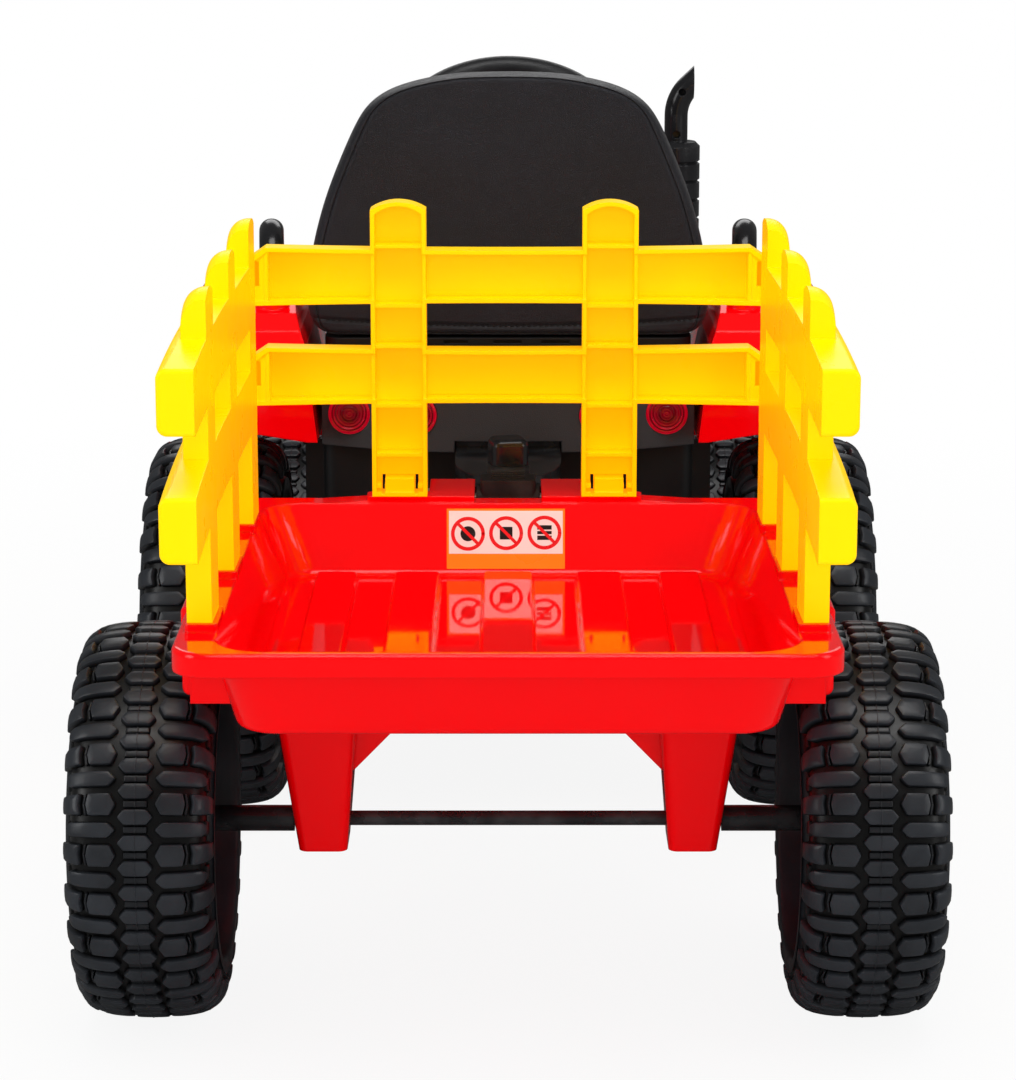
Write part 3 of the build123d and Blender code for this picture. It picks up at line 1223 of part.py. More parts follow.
with BuildPart() as side_posts:
    for post_y, top in zip(POST_YS, POST_TOPS):
        rear, front = post_y - POST_W / 2, post_y + POST_W / 2
        with BuildSketch(Plane.YZ.offset(POST_X0)):
            with BuildLine():
                Polyline((rear, POST_Z0), (front, POST_Z0), (front, top - 5))
                ThreePointArc((front, top - 5), (post_y, top), (rear, top - 5))
                Polyline((rear, top - 5), (rear, POST_Z0))
            make_face()
        extrude(amount=POST_X1 - POST_X0)
    fillet([e for e in side_posts.edges()
            if e.center().X > POST_X1 - 0.5 and e.center().Z > POST_Z1 - 8], 13)

with BuildPart() as fence_panel:
    add(side_posts.part)
    for rail in rails:
        add(rail)
    for post_y in POST_YS:
        with Locations(((POST_X0 + POST_X1) / 2, post_y, (POST_Z0 + 4 + POST_Z1 - 24) / 2)):
            Box(POST_X1 - POST_X0 - 6, POST_W - 6, POST_Z1 - 24 - POST_Z0 - 4,
                mode=Mode.SUBTRACT)
    for void in rail_voids:
        add(void, mode=Mode.SUBTRACT)
with BuildPart() as fence:
    add(fence_panel.part.rotate(Axis((184, TOE_Y, 0), (0, 0, 1)), TOE))
    # tenons that plug into the tub
    for post_y in POST_YS:
        with Locations((181.5 - toe(post_y), post_y, 291.5)):
            Box(12, 30, 17)
save_pair(fence.part, "fence")

# ---------------------------------------------------------------------------
# Front fence: a frame hollowed from the rear, with ribs
# ---------------------------------------------------------------------------

FRONT_FENCE_T = FRONT_FENCE_Y1 - FRONT_FENCE_Y0
FRONT_RAILS = ((363.0, 403.4), (432.4, 472.4))    # bottom, top


def front_frame(inset):
    """Front fence silhouette, shrunk by inset, as a sketch seen from the rear."""
    with BuildSketch(rear_facing(FRONT_FENCE_Y1)) as frame:
        for x in FRONT_POST_XS:
            left, right = x - POST_W / 2 + inset, x + POST_W / 2 - inset
            bottom, shoulder = POST_Z0 + inset, 498 - inset
            with BuildLine():
                Polyline((left, bottom), (right, bottom), (right, shoulder))
                ThreePointArc((right, shoulder), (x, 503.6 - inset), (left, shoulder))
                Polyline((left, shoulder), (left, bottom))
            make_face()
        for z0, z1 in FRONT_RAILS:
            bottom, top = z0 + inset, z1 - inset
            end, corner = FRONT_FENCE_X - inset, FRONT_FENCE_X - 12 - inset / 2
            with BuildLine():
                Polyline((-end, bottom), (-end, top - 8), (-corner, top))
                ThreePointArc((-corner, top), (0, top - 2.0), (corner, top))
                Polyline((corner, top), (end, top - 8), (end, bottom))
                ThreePointArc((end, bottom), (0, bottom + 2.0), (-end, bottom))
            make_face()
    return frame.sketch


outer_frame = front_frame(0)
inner_frame = front_frame(3)
RIB_Y = (FRONT_FENCE_Y0 + 1.5 + FRONT_FENCE_Y1) / 2
with BuildPart() as fence_front:
    extrude(outer_frame, amount=FRONT_FENCE_T)
    extrude(inner_frame.moved(Location((0, -3, 0))), amount=FRONT_FENCE_T, mode=Mode.SUBTRACT)
    # cross ribs inside the posts and along the post sides through the rails
    for x in FRONT_POST_XS:
        for z in (306.0, 328.0, 362.5, 404.0, 432.0, 473.0):
            with Locations((x, RIB_Y, z)):
                Box(POST_W - 3, FRONT_FENCE_T - 1.5, 2.6)
        for z0, z1 in FRONT_RAILS:
            for side in (-1, 1):
                with Locations((x + side * 17.6, RIB_Y, (z0 + z1) / 2)):
                    Box(2.6, FRONT_FENCE_T - 1.5, z1 - z0 - 2)
    # closed hook plate at each rail end
    for side in (-1, 1):
        for z0, z1 in FRONT_RAILS:
            middle = (z0 + z1) / 2
            with Locations((side * 165.3, (FRONT_FENCE_Y0 + 0.5 + FRONT_FENCE_Y1) / 2, middle)):
                Box(2.6, FRONT_FENCE_T - 0.5, z1 - z0 - 3)
            with Locations((side * 171.0, FRONT_FENCE_Y0 + 2.5, middle - 1.5)):
                Box(12, 3, z1 - z0 - 7)
            with Locations((side * 171.6, FRONT_FENCE_Y0 + 2.5, middle + 2)):
                Box(3.0, 6, 17, mode=Mode.SUBTRACT)
    # tenons
    for x in FRONT_POST_XS:
        with Locations((x, -247, 291.6)):
            Box(30, 8, 17)
        # clip tab between two slots
        with Locations((x, FRONT_FENCE_Y0 + 8, 305.4)):
            Box(20, 14, 12.4)
        for offset in (-11.5, 11.5):
            with Locations((x + offset, FRONT_FENCE_Y0 + 9, 306)):
                Box(2.2, 22, 11, mode=Mode.SUBTRACT)
save(fence_front.part, "fence_front")
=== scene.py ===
"""Ride-on toy tractor with a trailer: looks for its CAD pieces.

The tractor faces +Y, its right side is +X and the floor is z = 0. The tractor's rear axle is at
y = 0 and the trailer stands behind it, towards -Y. The scene is in metres. Tyres, upholstery and
label are drawn in millimetres and divided by 1000 when their meshes are made.
"""
import bpy
import bmesh
import math
import random
import numpy as np
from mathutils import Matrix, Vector, noise
from mathutils.bvhtree import BVHTree
from mathutils.kdtree import KDTree


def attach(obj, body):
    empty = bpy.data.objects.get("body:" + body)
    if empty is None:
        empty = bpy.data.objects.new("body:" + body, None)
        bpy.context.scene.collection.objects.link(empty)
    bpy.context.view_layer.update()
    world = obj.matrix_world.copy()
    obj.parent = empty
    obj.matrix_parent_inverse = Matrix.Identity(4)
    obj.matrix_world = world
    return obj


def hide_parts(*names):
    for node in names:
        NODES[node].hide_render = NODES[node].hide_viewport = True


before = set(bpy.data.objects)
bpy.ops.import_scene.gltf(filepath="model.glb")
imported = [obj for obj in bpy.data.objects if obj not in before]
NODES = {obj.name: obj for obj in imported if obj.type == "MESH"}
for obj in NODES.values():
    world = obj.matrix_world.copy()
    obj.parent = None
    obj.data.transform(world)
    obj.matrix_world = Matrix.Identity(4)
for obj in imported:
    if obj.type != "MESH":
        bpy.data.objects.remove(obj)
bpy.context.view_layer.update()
scene = bpy.context.scene
random.seed(7)

# Seam across the lower back of the seat: z = SEAM_Z + SEAM_RISE * x^2 (metres)
SEAM_Z = 0.387
SEAM_RISE = 0.267

# ---------------------------------------------------------------------------
# Shader building
# ---------------------------------------------------------------------------


class Shader:
    """Emptied node tree of a material or world, with short calls for the nodes used here."""

    def __init__(self, owner, output_kind="OutputMaterial"):
        owner.use_nodes = True
        self.tree = owner.node_tree
        self.tree.nodes.clear()
        self.output = self.node(output_kind)

    def node(self, kind, inputs=(), **settings):
        """Add a node. Inputs are keyed by name or position; sockets are linked, values are set."""
        node = self.tree.nodes.new("ShaderNode" + kind)
        for name, value in settings.items():
            setattr(node, name, value)
        for key, value in inputs.items() if isinstance(inputs, dict) else enumerate(inputs):
            if isinstance(value, bpy.types.NodeSocket):
                self.tree.links.new(value, node.inputs[key])
            else:
                node.inputs[key].default_value = value
        return node

    def surface(self, socket):
        self.tree.links.new(socket, self.output.inputs["Surface"])

    def principled(self, inputs):
        return self.node("BsdfPrincipled", inputs).outputs["BSDF"]

    def coords(self, scale=(1, 1, 1)):
        place = self.node("TexCoord").outputs["Object"]
        return self.node("Mapping", {"Vector": place, "Scale": scale}).outputs["Vector"]

    def object_xyz(self):
        place = self.node("TexCoord").outputs["Object"]
        return self.node("SeparateXYZ", (place,)).outputs

    def noise(self, place, scale, detail, roughness=0.5):
        inputs = {"Vector": place, "Scale": scale, "Detail": detail, "Roughness": roughness}
        return self.node("TexNoise", inputs).outputs["Fac"]

    def voronoi(self, place, scale, **settings):
        inputs = {"Vector": place, "Scale": scale}
        return self.node("TexVoronoi", inputs, **settings).outputs["Distance"]

    def ramp(self, factor, stops):
        node = self.node("ValToRGB", {"Fac": factor})
        elements = node.color_ramp.elements
        while len(elements) < len(stops):
            elements.new(0.5)
        for element, (position, color) in zip(elements, stops):
            element.position = position
            element.color = (*color, 1)
        return node.outputs["Color"]

    def remap(self, value, source, target):
        """Map the source range (low, high) onto the target range."""
        return self.node("MapRange", (value, *source, *target)).outputs[0]

    def mottle(self, place, scale, detail, span):
        """Noise spread over the span (low, high)."""
        return self.remap(self.noise(place, scale, detail), source=(0.3, 0.7), target=span)

    def math(self, operation, *values):
        return self.node("Math", values, operation=operation).outputs[0]

    def mix_color(self, factor, first, second):
        inputs = {"Factor": factor, 6: first, 7: second}
        return self.node("Mix", inputs, data_type="RGBA").outputs[2]

    def mix_shader(self, factor, first, second):
        return self.node("MixShader", (factor, first, second)).outputs[0]

    def bevel(self, radius):
        return self.node("Bevel", {"Radius": radius}, samples=4).outputs["Normal"]

    def bump(self, height, strength, distance, normal=None):
        inputs = {"Height": height, "Strength": strength, "Distance": distance}
        if normal is not None:
            inputs["Normal"] = normal
        return self.node("Bump", inputs).outputs["Normal"]


def new_material(name):
    material = bpy.data.materials.new(name)
    return material, Shader(material)


def scaled(color, factor):
    return tuple(min(1.0, c * factor) for c in color)


# ---------------------------------------------------------------------------
# Materials
# ---------------------------------------------------------------------------


def plastic(name, color, rough, drift, peel, bevel, coat=0.0, grain=None, specular=0.5,
            scuff=0.0, painted_glow=0.0, painted_glow_color=(1, 1, 1)):
    """Moulded plastic with softened edges.

    rough: roughness range; drift: share of colour variation; peel: orange-peel bump strength;
    bevel: edge radius; grain: (cells per metre, bump strength); scuff: wear on the edges.
    """
    material, shader = new_material(name)
    place = shader.coords()
    base = shader.ramp(shader.noise(place, scale=7.0, detail=2.0),
                       [(0.3, scaled(color, 1 - drift)), (0.7, scaled(color, 1 + drift))])
    if scuff:
        # worn, slightly paler edges
        pointiness = shader.node("NewGeometry").outputs["Pointiness"]
        edge = shader.remap(pointiness, source=(0.50, 0.60), target=(0.0, 1.0))
        patches = shader.remap(shader.noise(place, scale=60.0, detail=4.0),
                               source=(0.4, 0.7), target=(0.0, scuff))
        pale = (*[min(1.0, c * 1.5 + 0.05) for c in color], 1)
        base = shader.mix_color(shader.math("MULTIPLY", edge, patches), base, pale)
    normal = shader.bump(shader.noise(place, scale=160.0, detail=2.0), strength=peel,
                         distance=0.001, normal=shader.bevel(bevel))
    if grain:
        cells, strength = grain
        normal = shader.bump(shader.voronoi(place, cells), strength=strength,
                             distance=0.0004, normal=normal)
    inputs = {
        "Base Color": base,
        "Roughness": shader.mottle(place, scale=35.0, detail=4.0, span=rough),
        "Specular IOR Level": specular,
        "Normal": normal,
    }
    if coat:
        inputs.update({"Coat Weight": coat, "Coat Roughness": 0.06})
    if painted_glow:
        # painted glow: orange emission standing in for light that comes through thin translucent
        # walls
        inputs.update({"Emission Color": (*painted_glow_color, 1), "Emission Strength": painted_glow})
    shader.surface(shader.principled(inputs))
    return material


def metal(name, color, rough):
    """Plated metal with fine drawn lines along X and slight staining."""
    material, shader = new_material(name)
    stain = shader.noise(shader.coords(), scale=25.0, detail=4.0)
    lines = shader.noise(shader.coords((2, 400, 400)), scale=1.0, detail=3.0)
    shader.surface(shader.principled({
        "Base Color": shader.ramp(stain, [(0.35, scaled(color, 0.8)), (0.65, color)]),
        "Metallic": 1.0,
        "Roughness": shader.remap(lines, source=(0.3, 0.7), target=rough),
        "Normal": shader.bump(lines, strength=0.05, distance=0.0004,
                              normal=shader.bevel(0.0006)),
    }))
    return material


def seam_groove(shader, normal):
    """Soft groove along the curved seam of the seat back."""
    position = shader.object_xyz()
    x = position["X"]
    rise = shader.math("MULTIPLY", shader.math("MULTIPLY", x, x), SEAM_RISE)
    height = shader.math("SUBTRACT", shader.math("SUBTRACT", position["Z"], rise), SEAM_Z)
    distance = shader.math("ABSOLUTE", height)
    flank = shader.remap(distance, source=(0.0, 0.0028), target=(0.0, 1.0))
    return shader.bump(shader.math("POWER", flank, 0.6), strength=1.0, distance=0.0018,
                       normal=normal)


def leather(name, color, seam=False):
    """Soft imitation leather: fine pebble grain, faint creases and a low sheen."""
    material, shader = new_material(name)
    place = shader.coords()
    drift = shader.noise(place, scale=9.0, detail=3.0)
    pebbles = shader.voronoi(shader.coords((1.0, 1.0, 1.9)), 620.0, feature="DISTANCE_TO_EDGE")
    creases = shader.noise(shader.coords((1.0, 1.0, 4.0)), scale=38.0, detail=5.0, roughness=0.6)
    normal = shader.bump(creases, strength=0.28, distance=0.0012)
    normal = shader.bump(shader.remap(pebbles, source=(0.0, 0.12), target=(0.0, 1.0)),
                         strength=0.55, distance=0.0004, normal=normal)
    if seam:
        normal = seam_groove(shader, normal)
    shader.surface(shader.principled({
        "Base Color": shader.ramp(drift, [(0.3, scaled(color, 0.75)), (0.7, scaled(color, 1.2))]),
        "Roughness": shader.mottle(place, scale=90.0, detail=3.0, span=(0.42, 0.56)),
        "Specular IOR Level": 0.42,
        "Sheen Weight": 0.08,
        "Sheen Roughness": 0.4,
        "Normal": normal,
    }))
    return material


def tyre_plastic(name):
    """Satin, slightly blue black, with painted shade: darker where the tread attribute is low,
    down in the grooves between the blocks.
    """
    material, shader = new_material(name)
    place = shader.coords()
    raised = shader.ramp(shader.noise(place, scale=30.0, detail=4.0),
                         [(0.3, (0.0125, 0.0145, 0.0180)), (0.7, (0.0230, 0.0265, 0.0325))])
    tread = shader.node("Attribute", attribute_name="tread").outputs["Fac"]
    waves = shader.bump(shader.noise(place, scale=70.0, detail=3.0),
                        strength=0.10, distance=0.0012)
    shader.surface(shader.principled({
        # painted shade: points low on the carcass, in the grooves, get a near black colour
        "Base Color": shader.mix_color(
            shader.remap(tread, source=(0.15, 0.85), target=(0.0, 1.0)),
            (0.0018, 0.0018, 0.002, 1), raised),
        "Roughness": shader.mottle(place, scale=55.0, detail=5.0, span=(0.30, 0.46)),
        "Specular IOR Level": 0.5,
        "Normal": shader.bump(shader.noise(place, scale=420.0, detail=3.0),
                              strength=0.16, distance=0.0004, normal=waves),
    }))
    return material


LENS_RADIUS = 0.0157


def lens(name, color, centres, transmission=0.0):
    """Lamp lens with moulded rings around the nearest of the lamp centres (x, z); the dark rings
    in its colour are painted shade of the grooves.
    """
    material, shader = new_material(name)
    position = shader.object_xyz()
    nearest = None
    for x, z in centres:
        flat = shader.node("CombineXYZ", {"X": position["X"], "Z": position["Z"]}).outputs[0]
        distance = shader.node("VectorMath", (flat, (x, 0.0, z)),
                               operation="DISTANCE").outputs["Value"]
        nearest = distance if nearest is None else shader.math("MINIMUM", nearest, distance)
    radius = shader.remap(nearest, source=(0.0, LENS_RADIUS), target=(0.0, 1.0))
    # painted shade: the dark bands of the ramp stand in for shade in the moulded grooves; the
    # centre is darker too
    dark, middle = scaled(color, 0.22), scaled(color, 0.5)
    stops = [(0.0, middle), (0.34, dark), (0.60, middle), (0.66, dark), (0.74, color),
             (0.80, dark), (0.88, color), (1.0, color)]
    ridges = shader.math("SINE", shader.math("MULTIPLY", radius, 44.0))
    shader.surface(shader.principled({
        "Base Color": shader.ramp(radius, stops),
        "Roughness": shader.mottle(shader.coords(), scale=60.0, detail=2.0, span=(0.05, 0.12)),
        "Coat Weight": 0.6,
        "Coat Roughness": 0.03,
        "Transmission Weight": transmission,
        "Normal": shader.bump(ridges, strength=0.35, distance=0.0007,
                              normal=shader.bevel(0.0015)),
    }))
    return material


LEATHER_COLOR = (0.0080, 0.0080, 0.0122)
VINYL = dict(rough=(0.25, 0.35), peel=0.01, bevel=0.0001, specular=0.35)

RED = plastic("red_gloss", (0.92, 0.0, 0.002), rough=(0.025, 0.06), drift=0.03, coat=0.15,
              peel=0.012, bevel=0.0022, specular=0.4)
# painted glow: the yellow fences carry an orange emission so that their shaded faces stay bright
YELLOW = plastic("yellow_gloss", (1.0, 0.69, 0.0), rough=(0.26, 0.34), drift=0.02, peel=0.002,
                 bevel=0.0009, specular=0.08, painted_glow=0.26, painted_glow_color=(1.0, 0.40, 0.0))
YELLOW_HUB = plastic("yellow_hub", (0.95, 0.60, 0.0), rough=(0.18, 0.28), drift=0.04, coat=0.3,
                     peel=0.02, bevel=0.0012)
BLACK = plastic("black_satin", (0.014, 0.014, 0.015), rough=(0.34, 0.46), drift=0.15, peel=0.03,
                grain=(1400, 0.25), bevel=0.001, scuff=0.5)
BLACK_GLOSS = plastic("black_gloss", (0.008, 0.008, 0.009), rough=(0.14, 0.24), drift=0.15,
                      coat=0.12, peel=0.03, bevel=0.0014, scuff=0.3)
# painted shade: a darker black for the chassis and seat shell, standing in for the shade in the
# recesses where they sit
BLACK_PAINTED_SHADE = plastic("black_painted_shade", (0.006, 0.006, 0.0065), rough=(0.4, 0.55), drift=0.15,
                     peel=0.03, grain=(1400, 0.2), bevel=0.001, specular=0.3)
GREY = plastic("grey_grained", (0.026, 0.025, 0.028), rough=(0.42, 0.55), drift=0.1, peel=0.02,
               grain=(1500, 0.4), bevel=0.0015)
TYRE = tyre_plastic("tyre_plastic")
LEATHER = leather("seat_leather", LEATHER_COLOR)
LEATHER_BACK = leather("seat_leather_back", LEATHER_COLOR, seam=True)
THREAD = plastic("thread", (0.006, 0.006, 0.007), rough=(0.5, 0.7), drift=0.2, peel=0.05,
                 bevel=0.0002, specular=0.3)
VINYL_ORANGE = plastic("vinyl_orange", (0.95, 0.28, 0.0), drift=0.03, **VINYL)
VINYL_WHITE = plastic("vinyl_white", (0.86, 0.86, 0.85), drift=0.02, **VINYL)
VINYL_RED = plastic("vinyl_red", (0.75, 0.005, 0.008), drift=0.04, **VINYL)
VINYL_BLACK = plastic("vinyl_black", (0.012, 0.012, 0.012), drift=0.1, **VINYL)
TAIL = lens("tail_lens", (0.62, 0.0, 0.02),
            [(-0.119, 0.322), (-0.069, 0.322), (0.069, 0.322), (0.119, 0.322)])
CLEAR = lens("clear_lens", (0.9, 0.93, 0.97), [(-0.05, 0.33), (0.05, 0.33)], transmission=0.6)
STEEL_BLACK = plastic("black_coated_steel", (0.012, 0.012, 0.013), rough=(0.22, 0.34),
                      drift=0.15, peel=0.02, bevel=0.0006, scuff=0.6)
STEEL = metal("zinc_steel", (0.62, 0.62, 0.64), rough=(0.25, 0.4))
NYLON = plastic("nylon", (0.62, 0.61, 0.57), rough=(0.4, 0.55), drift=0.06, peel=0.03,
                bevel=0.0006)
BATTERY = plastic("battery_case", (0.05, 0.052, 0.058), rough=(0.4, 0.55), drift=0.1, peel=0.04,
                  bevel=0.0012)
CONTROL = plastic("control_case", (0.03, 0.03, 0.035), rough=(0.45, 0.6), drift=0.1, peel=0.04,
                  bevel=0.0008)
BUTTON = plastic("button_red", (0.5, 0.006, 0.008), rough=(0.2, 0.3), drift=0.05, coat=0.3,
                 peel=0.02, bevel=0.001)

# Material, CAD pieces that wear it
PIECE_MATERIALS = (
    (RED, "fender_left fender_right hood trailer_tub axle_supports"),
    (YELLOW, "fence_front fence_left fence_right"),
    (YELLOW_HUB, "rear_hub_left rear_hub_right front_hub_left front_hub_right "
                 "trailer_hub_left trailer_hub_right"),
    # painted shade: the chassis and seat shell are darkened for the recesses they sit in
    (BLACK_PAINTED_SHADE, "chassis seat_shell"),
    (BLACK, "dashboard front_bumper steering_wheel pedal drawbar"),
    (BLACK_GLOSS, "grab_handle_left grab_handle_right exhaust_stack tow_hitch hitch_pin "
                  "axle_sleeves grille"),
    (GREY, "rear_cover"),
    (TYRE, "rear_tyre_left rear_tyre_right front_tyre_left front_tyre_right "
           "trailer_tyre_left trailer_tyre_right"),
    (LEATHER, "seat_cushion seat_back_cushion"),
    (TAIL, "tail_light_lenses"),
    (CLEAR, "headlight_lenses"),
    (STEEL_BLACK, "trailer_axle front_axle_beam tie_rod"),
    (STEEL, "rear_axle rear_axle_nuts trailer_axle_nuts fork_bolt body_fasteners "
            "steering_shaft steering_knuckle_left steering_knuckle_right drive_motors"),
    (NYLON, "drive_gear_left drive_gear_right gearboxes"),
    (BATTERY, "battery"),
    (CONTROL, "control_box speaker"),
    (BUTTON, "horn_button power_button gear_lever"),
)


def paint_pieces():
    by_name = {name: material for material, names in PIECE_MATERIALS for name in names.split()}
    for name, piece in NODES.items():
        if not piece.material_slots:
            piece.data.materials.append(by_name[name])
        for slot in piece.material_slots:
            slot.material = by_name[name]


paint_pieces()

# ---------------------------------------------------------------------------
# Mesh helpers
# ---------------------------------------------------------------------------


def make_object(name, verts, faces, material, sharp_angle, tread=None):
    """Smooth-shaded object from points in metres; edges above sharp_angle degrees stay sharp."""
    mesh = bpy.data.meshes.new(name)
    mesh.from_pydata([tuple(v) for v in verts], [], [tuple(f) for f in faces])
    # the tread attribute carries the painted groove shade of the tyres
    if tread is not None:
        attribute = mesh.attributes.new("tread", "FLOAT", "POINT")
        attribute.data.foreach_set("value", np.asarray(tread, np.float32))
    mesh.validate()
    bm = bmesh.new()
    bm.from_mesh(mesh)
    bmesh.ops.remove_doubles(bm, verts=bm.verts, dist=2e-6)
    bmesh.ops.recalc_face_normals(bm, faces=bm.faces)
    bm.to_mesh(mesh)
    bm.free()
    smooth_faces(mesh)
    mesh.set_sharp_from_angle(angle=math.radians(sharp_angle))
    mesh.update()
    made = bpy.data.objects.new(name, mesh)
    scene.collection.objects.link(made)
    mesh.materials.append(material)
    return made


def smooth_faces(mesh):
    mesh.polygons.foreach_set("use_smooth", [True] * len(mesh.polygons))


def ring_faces(rings, sides, start=0, closed=False):
    """Quads between rings of points; a closed stack joins its last ring to its first."""
    faces = []
    for k in range(rings if closed else rings - 1):
        near = start + k * sides
        far = start + (k + 1) % rings * sides
        for i in range(sides):
            j = (i + 1) % sides
            faces.append((near + i, near + j, far + j, far + i))
    return faces


def mesh_points(piece):
    return np.array([v.co for v in piece.data.vertices], float)


def set_points(piece, points):
    piece.data.vertices.foreach_set("co", points.ravel())
    piece.data.update()


def bell(half_width, sigma):
    """Smoothing kernel with 2 * half_width + 1 weights."""
    kernel = np.exp(-0.5 * (np.arange(-half_width, half_width + 1) / sigma) ** 2)
    return kernel / kernel.sum()


# ---------------------------------------------------------------------------
# Tyres: hollow dished body with a block tread standing on it
# ---------------------------------------------------------------------------

# kind, width, radius, tread repeats, bore radius, hub end and tyre side towards the vehicle
# (the hub end from the tyre side, the tyre side from the middle plane), axle y
TYRES = (
    ("rear", 104.5, 145.0, 26, 6.05, 12.5, 172.0, 0.0),
    ("trailer", 93.0, 128.0, 25, 4.8, 10.6, 180.5, -451.0),
    ("front", 75.0, 105.0, 24, 5.05, 6.0, 160.0, 490.0),
)
# The tread is drawn for a tyre of this size and scaled to the others
DRAWN_WIDTH = 86.0
DRAWN_RADIUS = 128.0
DRAWN_PITCH = 32.2
BLOCK_HEIGHT = 4.1
# Half cross-section under the tread: x, height relative to the tyre radius, crown first
CARCASS = [(43, -4.5), (32, -4.8), (22, -5.7), (13, -7.7), (7.8, -11.2), (5.0, -16.5),
           (4.2, -23.0), (4.4, -30.0)]
CROWN_POINTS = 41
BODY_SEGMENTS = 120
MAX_EDGE = 4.5
HUB_RADIUS = 16
DISC_RIBS = 6
RIB_HALF = 2.0
RIB_START = 15.5


def round_corners(points, radius):
    """Polygon with each corner as a two-step curve and its long edges divided."""
    curve = []
    count = len(points)
    for i in range(count):
        before, corner, after = (np.array(points[(i + k) % count]) for k in (-1, 0, 1))
        back, ahead = before - corner, after - corner
        back_length, ahead_length = np.linalg.norm(back), np.linalg.norm(ahead)
        cut = min(radius, back_length * 0.45, ahead_length * 0.45)
        start = corner + back / back_length * cut
        end = corner + ahead / ahead_length * cut
        for t in (0.0, 0.5, 1.0):
            curve.append((1 - t) ** 2 * start + 2 * t * (1 - t) * corner + t * t * end)
    divided = []
    for i, point in enumerate(curve):
        step = curve[(i + 1) % len(curve)] - point
        divided.append(point)
        cuts = int(np.linalg.norm(step) // MAX_EDGE)
        for j in range(cuts):
            divided.append(point + step * (j + 1) / (cuts + 1))
    return np.array(divided)


def offset_polygon(points, distance):
    """Convex counter-clockwise polygon grown (distance > 0) or shrunk (distance < 0)."""
    tangent = np.roll(points, -1, 0) - np.roll(points, 1, 0)
    tangent /= np.linalg.norm(tangent, axis=1)[:, None] + 1e-9
    return points + np.stack([tangent[:, 1], -tangent[:, 0]], 1) * distance


class Carcass:
    """Smoothed cross-section under the tread, by signed arc length from the crown."""

    def __init__(self, width, radius):
        self.radius = radius
        across, down = width / DRAWN_WIDTH, radius / DRAWN_RADIUS
        inner = [(x * across, radius + z * down) for x, z in CARCASS]
        outer = [(width - x, r) for x, r in inner]
        points = np.array(inner[::-1] + outer[1:])
        steps = np.linalg.norm(np.diff(points, axis=0), axis=1)
        arc = np.concatenate([[0], np.cumsum(steps)])
        arc = arc - arc[len(inner) - 1]
        self.arc = np.linspace(arc[0], arc[-1], 241)
        kernel = bell(half_width=14, sigma=6.0)
        self.x, self.r = (
            np.convolve(np.pad(np.interp(self.arc, arc, points[:, axis]), 14, mode="reflect",
                               reflect_type="odd"), kernel, "valid")
            for axis in (0, 1))
        slope_x, slope_r = np.gradient(self.x), np.gradient(self.r)
        length = np.hypot(slope_x, slope_r)
        self.normal_x, self.normal_r = -slope_r / length, slope_x / length

    def at(self, u, height):
        """(x, r) at arc length u and a height above the surface."""
        x = np.interp(u, self.arc, self.x) + np.interp(u, self.arc, self.normal_x) * height
        r = np.interp(u, self.arc, self.r) + np.interp(u, self.arc, self.normal_r) * height
        return x, r


def block_mesh(carcass, outline, height, shift, corner, bevel):
    """One tread block, from its buried foot over a rounded edge to a slightly crowned top."""
    crown = 0.15 if height > 3 else 0.05
    edge = round_corners([(u, s + shift) for u, s in outline], corner)
    count = len(edge)
    low, high = edge.min(0), edge.max(0)
    reach = min((high[1] - low[1]) / 2, (high[0] - low[0]) / 2)
    first, last = low[0] + reach, high[0] - reach
    if last > first:
        spine_u = np.clip(edge[:, 0], first, last)
    else:
        spine_u = np.full(count, (low[0] + high[0]) / 2)
    spine = np.stack([spine_u, np.full(count, (low[1] + high[1]) / 2)], 1)
    rings = [
        (offset_polygon(edge, 0.9), -1.2),
        (offset_polygon(edge, 0.45), 0.3),
        (edge, height - bevel),
        (offset_polygon(edge, -0.3 * bevel), height - 0.3 * bevel),
        (offset_polygon(edge, -bevel), height),
        (edge * 0.4 + spine * 0.6, height + crown * 0.8),
        (spine, height + crown),
    ]
    verts = []
    for ring, level in rings:
        x, r = carcass.at(ring[:, 0], level)
        # tread: share of the block height; the tyre material paints shade where it is low
        tread = np.full(count, min(1.0, max(0.0, level / BLOCK_HEIGHT)))
        verts.append(np.stack([x, r, ring[:, 1] / carcass.radius, tread], 1))
    faces = ring_faces(len(rings), count)
    faces.append(tuple(reversed(range(count))))
    return np.concatenate(verts), faces


